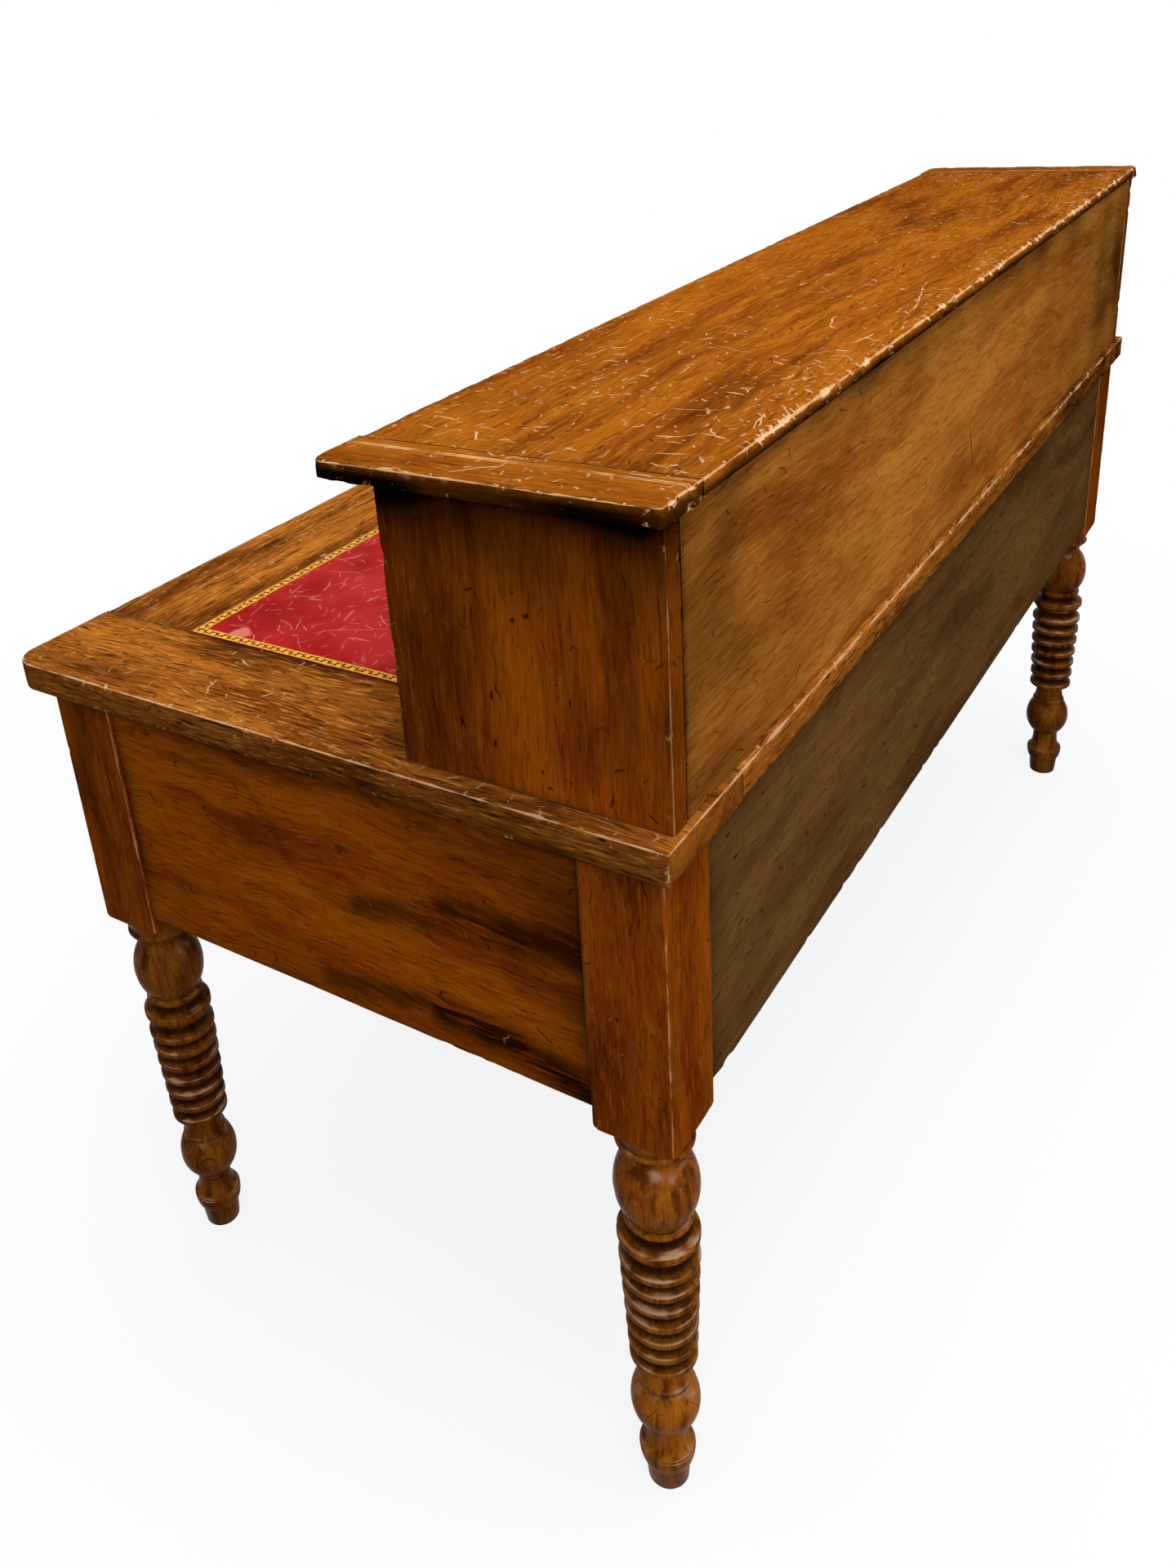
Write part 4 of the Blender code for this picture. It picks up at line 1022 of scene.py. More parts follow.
@dataclass
class Board:
    """One sawn board, with rounded open edges and close joints."""

    node: str
    grain: Grain
    cells: tuple[int, int, int]
    slot: str
    low: Vector | None = None
    high: Vector | None = None
    edge_round: float = 0.0020
    joint_round: float = 0.0010
    joints: frozenset[Side] = frozenset()
    plan_corners: tuple[tuple[Side, Side, float], ...] = ()
    wear: Wear = Wear()
    grime: tuple[Grime, ...] = ()
    scribes: tuple[float, ...] = ()
    scribe_width: float = 0.0012
    scribe_depth: float = 0.0006
    scuff: float = 0.45
    scuff_reach: float = 0.055
    scuff_patch: float = 0.12
    grime_and_shade_patch: float = 0.07
    crowds: tuple[tuple[Side, float], ...] = ()
    round_segments: int = 8
    seed: float = 0.0
    look: str = ""
    body: str = "desk"

    def __post_init__(self) -> None:
        """Take the solid's own box where no other limits are given."""
        low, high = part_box(self.node)
        self.low = self.low or low
        self.high = self.high or high

    def build(self, shop: Shop) -> None:
        """Model the board, age it and dress it.

        Args:
            shop: what finishes the piece.
        """
        made = cut_block(self.node + "_dressed", self.low, self.high, self.cells)
        self.round_edges(made)
        self.cut_scribes(made)
        square = places(made)
        put_places(made, self.rounded_plan(square))
        self.age(made, square)
        shop.finish(made, self.node, self.slot, self.body, self.grain, self.look, self.seed)

    def plane(self, side: Side) -> float:
        """Where a side of the board lies on its own axis."""
        axis, way = side.value
        return self.high[axis] if way > 0 else self.low[axis]

    def away(self, rows: np.ndarray, side: Side) -> np.ndarray:
        """How far each place lies from a side of the board."""
        return np.abs(rows[:, side.value[0]] - self.plane(side))

    def round_edges(self, obj: bpy.types.Object) -> None:
        """Round the open edges, and ease the joints by a hair."""
        rows, ends = places(obj), edge_ends(obj)
        on = {}
        for side in Side:
            flush = self.away(rows, side) < TINY
            on[side] = flush[ends[:, 0]] & flush[ends[:, 1]]
        sharp = np.sum(list(on.values()), axis=0) == 2
        weight = np.where(sharp, 1.0, 0.0)
        for side in self.joints:
            weight[sharp & on[side]] = self.joint_round / self.edge_round
        for first, second, _ in self.plan_corners:
            weight[on[first] & on[second]] = 0.0
        round_off(obj, weight, self.edge_round, self.round_segments)

    def cut_scribes(self, obj: bpy.types.Object) -> None:
        """Cut the board across its length for each line scribed on its upper face."""
        if not self.scribes:
            return
        with editing(obj):
            for line in self.scribes:
                for shift in (-self.scribe_width, 0.0, self.scribe_width):
                    bpy.ops.mesh.select_all(action="SELECT")
                    bpy.ops.mesh.bisect(plane_co=(line + shift, 0.0, 0.0), plane_no=(1.0, 0.0, 0.0))

    def rounded_plan(self, rows: np.ndarray) -> np.ndarray:
        """The same places with the plan corners drawn round.

        Args:
            rows: places on the square board.

        Returns:
            Places on the board with its corners rounded.
        """
        moved = rows.copy()
        for first, second, radius in self.plan_corners:
            reach = {}
            for side in (first, second):
                axis, way = side.value
                reach[axis, way] = way * (moved[:, axis] - self.plane(side)) + radius
            a, b = reach.values()
            inside = (a > 0) & (b > 0)
            scale = np.maximum(a, b) / np.maximum(np.hypot(a, b), TINY)
            for (axis, way), own in reach.items():
                moved[inside, axis] += (way * own * (scale - 1))[inside]
        return moved

    def nicked(self, rows: np.ndarray, square: np.ndarray) -> np.ndarray:
        """How deep a nick would go at each place, as a share of the deepest.

        Args:
            rows: places on the rounded board.
            square: the same places on the square board.

        Returns:
            The share for each place, most by the side that took the most knocks.
        """
        wear = self.wear
        knocks = np.ones(len(rows))
        if wear.worst is not None:
            lessened = np.exp(-(self.away(square, wear.worst) / wear.knock_reach) ** 2)
            knocks = wear.knock_least + (1 - wear.knock_least) * lessened
        bout = 0.30 * ripple(rows, 6 * wear.size, 1.9)
        nicks = np.clip((ripple(rows, wear.size, 5.3) - wear.start - bout) / 0.25, 0.0, 1.0) * knocks
        return np.clip(nicks + 0.8 * knocks * nicks * ripple(rows, 0.4 * wear.size, 7.7), 0.0, 1.0)

    def age(self, obj: bpy.types.Object, square: np.ndarray) -> None:
        """Rub and nick the open edges, paint highlights along their upper rounds and shade along the darkened
        sides, and keep where that was for the finish.

        Args:
            obj: the board, rounded.
            square: where its vertices were on the square board.
        """
        wear, rows, out = self.wear, places(obj), normals(obj)
        open_sides = [side for side in Side if side not in self.joints]
        gaps = np.sort(side_gaps(square, self.low, self.high, open_sides), axis=1)
        distance = np.hypot(gaps[:, 0], gaps[:, 1])
        near = np.exp(-(distance / wear.reach) ** 2)
        nicks = self.nicked(rows, square)
        push = near * (wear.soft * (0.6 + 0.6 * ripple(rows, wear.rub_length)) + wear.nick * nicks)
        push += wear.uneven * (0.5 + 0.5 * ripple(rows, wear.plane_stroke, 9.1))
        joint = side_gaps(square, self.low, self.high, self.joints).min(1) / self.joint_round
        dirt = 0.9 * (1 - step_up(joint, 0.20, 0.70))
        lip = 0.75 * np.exp(-((joint - 0.62) / 0.15) ** 2)
        upward = out[:, 2] > 0.9
        for line in self.scribes:
            off = np.abs(rows[:, 0] - line)
            groove = upward & (off < TINY)
            push[groove] += self.scribe_depth
            dirt[groove] = 0.60
            lip[upward & (np.abs(off - self.scribe_width) < TINY)] = 0.85
        put_places(obj, rows - out * np.maximum(push, 0.0)[:, None])
        # The rubbed line along each open arris, kept to upward rounds on flat boards: worn wood and a painted
        # highlight.
        bulge = (gaps[:, 1] - gaps[:, 0]) / (self.edge_round * wear.line)
        lit = step_up(out[:, 2], -0.25, 0.45) if self.grain.value[2] == 2 else np.ones(len(rows))
        bite = near * min(1.0, wear.nick / wear.raw_depth)
        rim = bite * step_up(nicks, 0.02, 0.18) * (1 - step_up(nicks, 0.25, 0.55))
        note_wear_and_painted_light(obj, edge=np.maximum(0.92 * np.exp(-bulge ** 2) * lit, lip), chip=bite * nicks,
                  dirt=np.maximum(np.maximum(dirt, 0.6 * rim), self.gathered(square)),
                  scuff=self.scuffed(square, out, distance))

    def scuffed(self, square: np.ndarray, out: np.ndarray, distance: np.ndarray) -> np.ndarray:
        """How thickly the scratches lie at each place.

        Args:
            square: places on the square board.
            out: outward directions there.
            distance: how far the nearest open edge is.

        Returns:
            A share for each place, most of it near edges and where scratches crowd.
        """
        near = 0.40 + 0.60 * np.exp(-(distance / self.scuff_reach) ** 2)
        if self.crowds:
            near = np.full(len(square), 0.16)
            for side, reach in self.crowds:
                near += 0.85 * np.exp(-(self.away(square, side) / reach) ** 2)
        if self.grain.value[2] == 2:
            near *= 0.10 + 0.90 * step_up(out[:, 2], 0.3, 0.8)
        return self.scuff * near * (0.65 + 0.7 * ripple(square, self.scuff_patch, 2.2))

    def gathered(self, square: np.ndarray) -> np.ndarray:
        """How dark each place is made along the darkened sides, by soiling and by painted shade."""
        total = np.zeros(len(square))
        for layer in self.grime:
            lessened = np.exp(-(self.away(square, layer.side) / layer.reach) ** layer.power)
            patchy = 0.75 + 0.45 * ripple(square, self.grime_and_shade_patch, 3.3)
            total = np.maximum(total, layer.strength * lessened * patchy)
        return np.clip(total, 0.0, 1.0)


@dataclass
class Fitted:
    """A jointed board kept exactly as its solid is cut, with every edge eased."""

    node: str
    grain: Grain
    slot: str
    body: str = "desk"
    ease: float = 0.0008
    ease_segments: int = 2
    scuff: float = 0.3

    def build(self, shop: Shop) -> None:
        """Copy the solid, join its loose faces, ease its edges and dress it.

        Args:
            shop: what finishes the piece, and holds the solids.
        """
        made = bpy.data.objects.new(self.node + "_dressed", shop.nodes[self.node].data.copy())
        bpy.context.scene.collection.objects.link(made)
        made.data.materials.clear()
        with editing(made):
            bpy.ops.mesh.select_all(action="SELECT")
            bpy.ops.mesh.remove_doubles(threshold=TINY)
            bpy.ops.mesh.dissolve_limited(angle_limit=FLAT_ANGLE)
        apply_modifier(made, "BEVEL", limit_method="ANGLE", angle_limit=CRISP_ANGLE, width=self.ease,
                       segments=self.ease_segments, use_clamp_overlap=True)
        slant = 1 - np.abs(normals(made)).max(1)
        note_wear_and_painted_light(made, edge=0.8 * step_up(slant, 0.05, 0.25), scuff=self.scuff)
        shop.finish(made, self.node, self.slot, self.body, self.grain)


# Turned shapes, from the top down

NECK_STEPS = 6
SAUCER_STEPS = 9
LIP_STEPS = 4


def quarter(steps: int) -> list[float]:
    """Angles from nought to a quarter turn."""
    return [QUARTER_TURN * step / steps for step in range(steps + 1)]


def swell(high: float, low: float, root: float, crest: float, steps: int) -> list[Point]:
    """Points of a bead that springs from a root radius, without its first point."""
    centre, half = (high + low) / 2, (high - low) / 2
    angles = [QUARTER_TURN - math.pi * step / steps for step in range(1, steps + 1)]
    return [(root + (crest - root) * math.cos(a), centre + half * math.sin(a)) for a in angles]


def draw_in(high: float, drop: float, high_radius: float, low_radius: float, power: float) -> list[Point]:
    """Points of a neck that draws in on its way down, without its first point."""
    wide = high_radius - low_radius
    return [(low_radius + wide * (1 - step / NECK_STEPS) ** power, high - drop * step / NECK_STEPS)
            for step in range(1, NECK_STEPS + 1)]


def ball(high: float, low: float, high_radius: float, low_radius: float, crest: float,
         steps: int) -> list[Point]:
    """Points of a ball cut off above and below at two radii."""
    top, bottom = math.acos(high_radius / crest), -math.acos(low_radius / crest)
    stretch = (high - low) / (math.sin(top) - math.sin(bottom))
    centre = high - stretch * math.sin(top)
    angles = [top + (bottom - top) * step / steps for step in range(steps + 1)]
    return [(crest * math.cos(a), centre + stretch * math.sin(a)) for a in angles]


def cove(high: float, low: float, high_radius: float, low_radius: float, steps: int) -> list[Point]:
    """Points of a hollow that flares out on its way down."""
    flare = low_radius - high_radius
    return [(high_radius + flare * (1 - math.cos(a)), high - (high - low) * math.sin(a))
            for a in quarter(steps)]


def saucer(high: float, low: float, root: float, crest: float, band: float, lip: float) -> list[Point]:
    """Points of a ring that flares out to a crest over an upright band, without its first point.

    Args:
        high: height where its flare begins.
        low: height where it ends.
        root: radius at both ends.
        crest: radius of its band.
        band: height of the band, with its lower rounding.
        lip: height of that rounding.

    Returns:
        Radius and height pairs, from the top down.
    """
    soft = 0.12 * band
    shelf = low + band
    points = cove(high, shelf + soft, root, crest - soft, SAUCER_STEPS)[1:]
    points += [(crest - 0.3 * soft, shelf + 0.4 * soft), (crest, shelf - 0.4 * soft)]
    return points + [(root + (crest - root) * math.cos(a), low + lip * (1 - math.sin(a)))
                     for a in quarter(LIP_STEPS)]


def bowl(high: float, low: float, high_radius: float, low_radius: float, steps: int) -> list[Point]:
    """Points of a round that draws in on its way down."""
    rim = high_radius - low_radius
    return [(low_radius + rim * math.cos(a), high - (high - low) * math.sin(a)) for a in quarter(steps)]


@dataclass
class Leg:
    """One leg: a square post above, a ring turning below, cut from one length of wood."""

    node: str
    foot_height: float = 0.027
    foot_floor_radius: float = 0.0190
    foot_ease_width: float = 0.0008
    foot_ease_height: float = 0.0012
    foot_top_radius: float = 0.0218
    foot_ring_height: float = 0.020
    foot_ring_radius: float = 0.0270
    quirk: float = 0.0012
    ankle_height: float = 0.031
    ankle_straight: float = 0.008
    ankle_radius: float = 0.0190
    lower_ball_height: float = 0.0585
    lower_ball_radius: float = 0.0328
    collar_height: float = 0.0055
    collar_radius: float = 0.0246
    collar_line: float = 0.0010
    lower_neck_height: float = 0.0270
    lower_neck_straight: float = 0.004
    lower_neck_radius: float = 0.0200
    ring_count: int = 7
    ring_lowest_radius: float = 0.0316
    ring_highest_radius: float = 0.0364
    ring_depth: float = 0.0065
    ring_band: float = 0.0072
    ring_lip: float = 0.0020
    fillet_space: float = 0.0065
    fillet_height: float = 0.0040
    fillet_radius: float = 0.0336
    big_ring_height: float = 0.0200
    big_ring_band: float = 0.0085
    big_ring_radius: float = 0.0370
    bead_neck_radius: float = 0.0263
    bead_height: float = 0.0090
    bead_radius: float = 0.0310
    ball_fillet_height: float = 0.0010
    ball_low_radius: float = 0.0281
    upper_ball_height: float = 0.0695
    upper_ball_radius: float = 0.0379
    ball_neck_radius: float = 0.0245
    ball_neck_height: float = 0.0135
    ball_neck_power: float = 1.7
    astragal_height: float = 0.0065
    astragal_radius: float = 0.0348
    upper_neck_height: float = 0.0165
    upper_neck_low_radius: float = 0.0325
    upper_neck_high_radius: float = 0.0368
    upper_neck_power: float = 1.6
    post_low: float = 0.455
    post_corner_cut: float = 0.004
    post_round: float = 0.0028
    post_segments: int = 4
    blank_past: float = 0.01        # how far the blank stands past both ends
    blank_cells: tuple[int, int, int] = (16, 16, 260)
    uneven: float = 0.00025         # slow waves of the hand-held tool
    wave_size: float = 0.05
    crest_rub: float = 0.0003
    crest_dent: float = 0.0011
    dent: float = 0.0003
    dent_size: float = 0.011
    top_shade_reach: float = 0.012
    floor_dirt_reach: float = 0.050
    most_dirt_and_shade: float = 0.92
    scuff: float = 0.4
    shade: float = 0.0              # painted shade all over the turning
    post_shade: float = 0.17        # the post's share of it
    sides: int = 72
    fine: int = 10
    medium: int = 8
    coarse: int = 6

    def levels(self) -> dict[str, float]:
        """The lower end of each part of the turning, by the part's name."""
        ankle = self.foot_height + self.foot_ring_height
        lower_ball = ankle + self.ankle_height
        collar = lower_ball + self.lower_ball_height
        neck = collar + self.collar_height
        upper_neck = self.post_low - self.upper_neck_height
        astragal = upper_neck - self.astragal_height
        ball_neck = astragal - self.ball_neck_height
        upper_ball = ball_neck - self.upper_ball_height
        ball_fillet = upper_ball - self.ball_fillet_height
        bead = ball_fillet - self.bead_height
        big_ring = bead - self.big_ring_height
        return {"ankle": ankle, "lower_ball": lower_ball, "collar": collar, "neck": neck,
                "rings": neck + self.lower_neck_height, "fillet": big_ring - self.fillet_space,
                "big_ring": big_ring, "bead": bead, "ball_fillet": ball_fillet, "upper_ball": upper_ball,
                "ball_neck": ball_neck, "astragal": astragal, "upper_neck": upper_neck}

    def profile(self, post_width: float, post_high: float) -> list[Point]:
        """Radius and height pairs of the whole leg, from the top down.

        Args:
            post_width: width of the square post.
            post_high: height of its upper end.

        Returns:
            The pairs: a wide blank over the post, then the turning, closed on the axis at both ends.
        """
        corner = post_width / math.sqrt(2)
        points = [(0.0, post_high), (post_width, post_high)]
        points += [(post_width, self.post_low + self.post_corner_cut + post_width - corner)]
        points += [(corner - self.post_corner_cut, self.post_low)]
        points += [(self.upper_neck_high_radius, self.post_low)]
        points += draw_in(self.post_low, self.upper_neck_height, self.upper_neck_high_radius,
                          self.upper_neck_low_radius, self.upper_neck_power)
        return points + self.ball_and_rings() + self.foot()

    def ball_and_rings(self) -> list[Point]:
        """Radius and height pairs from the astragal down to the lowest ring."""
        at = self.levels()
        neck, root = self.upper_neck_low_radius, self.ring_highest_radius - self.ring_depth
        points = swell(at["upper_neck"], at["astragal"], neck, self.astragal_radius, self.medium)
        points += draw_in(at["astragal"], self.ball_neck_height, neck, self.ball_neck_radius,
                          self.ball_neck_power)[:-1]
        points += ball(at["ball_neck"], at["upper_ball"], self.ball_neck_radius, self.ball_low_radius,
                       self.upper_ball_radius, 2 * self.fine)
        points += [(self.bead_neck_radius, at["ball_fillet"])]
        points += swell(at["ball_fillet"], at["bead"], self.bead_neck_radius, self.bead_radius, self.coarse)
        points += saucer(at["bead"], at["big_ring"], self.bead_neck_radius, self.big_ring_radius,
                         self.big_ring_band, self.ring_lip)
        fillet_high = at["big_ring"] - (self.fillet_space - self.fillet_height) / 2
        points += [(root, fillet_high)]
        points += swell(fillet_high, fillet_high - self.fillet_height, root, self.fillet_radius, self.coarse)
        points += [(root, at["fillet"])]
        pitch = (at["fillet"] - at["rings"]) / self.ring_count
        taper = (self.ring_highest_radius - self.ring_lowest_radius) / (self.ring_count - 1)
        for ring in range(self.ring_count):
            high = at["fillet"] - ring * pitch
            crest = self.ring_highest_radius - ring * taper
            points += saucer(high, high - pitch, crest - self.ring_depth, crest, self.ring_band,
                             self.ring_lip)
        return points

    def foot(self) -> list[Point]:
        """Radius and height pairs from the lower neck down to the floor."""
        at = self.levels()
        points = cove(at["rings"] - self.lower_neck_straight, at["neck"], self.lower_neck_radius,
                      self.collar_radius, self.medium)
        points += [(self.collar_radius, at["collar"] + self.collar_line)]
        points += [(self.collar_radius - self.collar_line, at["collar"] + self.collar_line / 2)]
        points += ball(at["collar"], at["lower_ball"], self.collar_radius, self.ankle_radius,
                       self.lower_ball_radius, 2 * self.fine)
        groove = self.foot_ring_radius - self.quirk
        points += cove(at["lower_ball"] - self.ankle_straight, at["ankle"] + self.quirk, self.ankle_radius,
                       groove, self.medium)
        points += [(groove - self.quirk / 2, at["ankle"] + self.quirk / 2)]
        points += [(self.foot_ring_radius - self.quirk / 3, at["ankle"])]
        points += bowl(at["ankle"] - self.quirk / 3, self.foot_height, self.foot_ring_radius,
                       self.foot_top_radius, self.fine)
        points += [(self.foot_floor_radius + self.foot_ease_width, self.foot_ease_height)]
        return points + [(self.foot_floor_radius, 0.0), (0.0, 0.0)]

    def build(self, shop: Shop) -> None:
        """Turn the leg, meet it with its square blank, age it and dress it.

        Args:
            shop: what finishes the piece.
        """
        low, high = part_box(self.node)
        centre = ((low.x + high.x) / 2, (low.y + high.y) / 2)
        width = high.x - low.x
        made = turned(self.node + "_dressed", self.profile(width, high.z), centre, self.sides)
        blank = cut_block(self.node + "_blank", (low.x, low.y, low.z - self.blank_past),
                          (high.x, high.y, high.z + self.blank_past), self.blank_cells)
        rows, ends = places(blank), edge_ends(blank)
        at_side = np.abs(np.abs(rows[:, :2] - np.array(centre)) - width / 2) < TINY
        at_corner = at_side.all(1)
        round_off(blank, at_corner[ends[:, 0]] & at_corner[ends[:, 1]], self.post_round, self.post_segments)
        apply_modifier(made, "BOOLEAN", operation="INTERSECT", object=blank, solver="EXACT")
        bpy.data.objects.remove(blank)
        self.age(made, centre, width)
        made.data.materials.clear()
        for look in ("leg_wood", "post_wood"):
            made.data.materials.append(shop.materials[look])
        for face in made.data.polygons:
            face.material_index = int(face.center.z > self.post_low)
        shop.finish(made, self.node, "leg_wood", "desk", Grain.FACE_UPRIGHT)

    def age(self, obj: bpy.types.Object, centre: Point, width: float) -> None:
        """Rub the crests and arrises, dent the rounds, darken the grooves with soiling and painted shade, and
        paint a sheen on the upward faces and shade under the top.

        Args:
            obj: the leg, cut to shape.
            centre: where its axis stands on the floor.
            width: width of its post.
        """
        rows, out, at = places(obj), normals(obj), self.levels()
        height = rows[:, 2]
        off = rows[:, :2] - np.array(centre)
        on_post = height > self.post_low - TINY
        sharp = np.where(on_post, 0.0, spread(obj, bend(obj), 1))
        inset = width / 2 - np.abs(off)
        from_arris = np.hypot(inset[:, 0], inset[:, 1])
        arris = on_post * np.exp(-((inset[:, 0] - inset[:, 1]) / (0.45 * self.post_round)) ** 2)
        arris *= from_arris < self.post_round
        ridge = step_up(sharp, 110.0, 380.0) * step_up(out[:, 2], -0.30, 0.25)
        ringed = (height > at["rings"]) & (height < at["bead"])
        crests = [self.ring_lowest_radius, self.ring_highest_radius, self.big_ring_radius]
        outermost = np.interp(height, [at["rings"], at["fillet"], at["big_ring"]], crests)
        big_ring_depth = self.big_ring_radius - self.bead_neck_radius
        depth = np.where(height > at["big_ring"], big_ring_depth, self.ring_depth)
        sunk = (outermost - np.hypot(off[:, 0], off[:, 1])) / depth
        # The whole ring stack is darkened, the grooves more the deeper they go: soiling, and painted shade
        # where each ring shadows the flank below.
        groove = 0.20 + 0.42 * step_up(sunk, 0.08, 0.35) + 0.34 * step_up(sunk, 0.50, 0.90)
        hollow = np.where(ringed, groove, spread(obj, step_up(-sharp, 25.0, 200.0), 2))
        dents = np.clip((ripple(rows, self.dent_size, 4.4) - 0.24) / 0.3, 0.0, 1.0)
        slow = 0.5 + 0.5 * ripple(rows, self.wave_size, 1.7)
        crest = np.maximum(ridge, arris)
        push = self.uneven * slow + crest * (self.crest_rub + self.crest_dent * dents) + self.dent * dents
        moved = rows - out * np.maximum(push, 0.0)[:, None]
        moved[:, 2] = np.where(height < TINY, height, moved[:, 2])
        put_places(obj, moved)
        # Painted shade down from the top of the post, under the desk top.
        under_top = 0.45 * np.exp(-(height.max() - height) / self.top_shade_reach)
        by_floor = 0.50 * np.exp(-height / self.floor_dirt_reach)
        # Painted sheen on the upward faces of the rings and balls, laid on as pale rub.
        upper = np.where(on_post, 0.0, step_up(out[:, 2], 0.15, 0.70)) * (1 - step_up(hollow, 0.50, 0.80))
        upper *= np.where(ringed, 0.52, 0.33)
        gathered = np.maximum(np.maximum(hollow, under_top), by_floor)
        # Painted shade over the whole turning of a shaded leg, less on its post.
        shaded = np.where(on_post, self.post_shade, 1.0) * self.shade
        note_wear_and_painted_light(obj, edge=np.maximum(np.maximum(0.95 * ridge, 0.85 * arris), upper),
                  chip=np.maximum(0.25 * crest * dents, 0.9 * arris * dents),
                  dirt=np.clip(np.maximum(gathered, shaded), 0.0, self.most_dirt_and_shade), scuff=self.scuff)


# Sub-assemblies

@dataclass
class DeskTop:
    """The framed top: two end clamps, a front and a back board, and the leather let in between."""

    shop: Shop
    edge_round: float = 0.0065
    front_corner: float = 0.028
    border_margin: float = 0.0012
    border_width: float = 0.0105

    def build(self) -> None:
        """Make every piece of the top."""
        for hand in Hand:
            node = f"top_clamp_{hand.word}"
            Board(node, Grain.ACROSS_FLAT, (32, 360, 4), "top_wood", edge_round=self.edge_round,
                  joints=frozenset({hand.inner}), plan_corners=((hand.outer, Side.FRONT, self.front_corner),),
                  wear=Wear(nick=0.0011, size=0.010, start=0.30),
                  # Soiling by the inner joint, painted shade on the lower rounding, darker towards the front.
                  grime=(Grime(hand.inner, 0.010, 0.45), Grime(Side.UNDER, 0.006, 0.80),
                         Grime(Side.FRONT, 0.200, 0.24)),
                  scuff=0.85).build(self.shop)
        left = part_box("top_clamp_left")[1].x
        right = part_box("top_clamp_right")[0].x
        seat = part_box("writing_leather")
        ends = frozenset({Side.LEFT, Side.RIGHT})
        front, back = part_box("top_front_board"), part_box("top_back_board")
        Board("top_front_board", Grain.ALONG_FLAT, (500, 18, 4), "top_wood",
              low=Vector((left, front[0].y, front[0].z)), high=Vector((right, seat[0].y, front[1].z)),
              edge_round=self.edge_round, joints=ends | {Side.BACK}, wear=Wear(nick=0.0012),
              grime=(Grime(Side.RIGHT, 0.030, 0.55),), scuff=0.65).build(self.shop)
        Board("top_back_board", Grain.ALONG_FLAT, (600, 16, 4), "top_wood",
              low=Vector((left, seat[1].y, back[0].z)), high=Vector((right, back[1].y, back[1].z)),
              edge_round=self.edge_round, joints=ends | {Side.FRONT},
              wear=Wear(nick=0.0018, size=0.009, start=0.20, worst=Side.BACK),
              scuff=0.6).build(self.shop)
        Fitted("top_centre_board", Grain.ALONG_FLAT, "top_wood").build(self.shop)
        self.leather()

    def leather(self) -> None:
        """The dyed hide, with a band marked off round it for the gilt border."""
        low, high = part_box("writing_leather")
        made = cut_block("writing_leather_dressed", low, high, (1, 1, 1))
        made.data.materials.append(self.shop.materials["leather"])
        made.data.materials.append(self.shop.materials["gilding"])
        self.inset_top(made, self.border_margin)
        self.inset_top(made, self.border_width)
        self.name_band(made, low, high)
        self.shop.finish(made, "writing_leather", "leather", "desk", None)

    @staticmethod
    def inset_top(obj: bpy.types.Object, width: float) -> None:
        """Inset the widest upward face of a piece."""
        faces = obj.data.polygons
        upward = [face for face in faces if face.normal.z > 0.5]
        field_face = max(upward, key=lambda face: face.area)
        for face in faces:
            face.select = face == field_face
        bpy.context.tool_settings.mesh_select_mode = FACES_ONLY
        with editing(obj):
            bpy.ops.mesh.inset(thickness=width, depth=0.0)

    def name_band(self, obj: bpy.types.Object, low: Vector, high: Vector) -> None:
        """Give the border's faces their gilding, and a map that runs along and across the band."""
        layer = obj.data.uv_layers.active or obj.data.uv_layers.new(name="band")
        inner = self.border_margin + self.border_width
        for face in obj.data.polygons:
            middle = face.center
            gaps = (middle.x - low.x, high.x - middle.x, middle.y - low.y, high.y - middle.y)
            gap = min(gaps)
            if face.normal.z < 0.5 or not self.border_margin < gap < inner:
                continue
            face.material_index = 1
            axis = gaps.index(gap) // 2
            for loop in face.loop_indices:
                place = obj.data.vertices[obj.data.loops[loop].vertex_index].co
                edge = min(place[axis] - low[axis], high[axis] - place[axis])
                layer.data[loop].uv = (place[1 - axis], (edge - self.border_margin) / self.border_width)


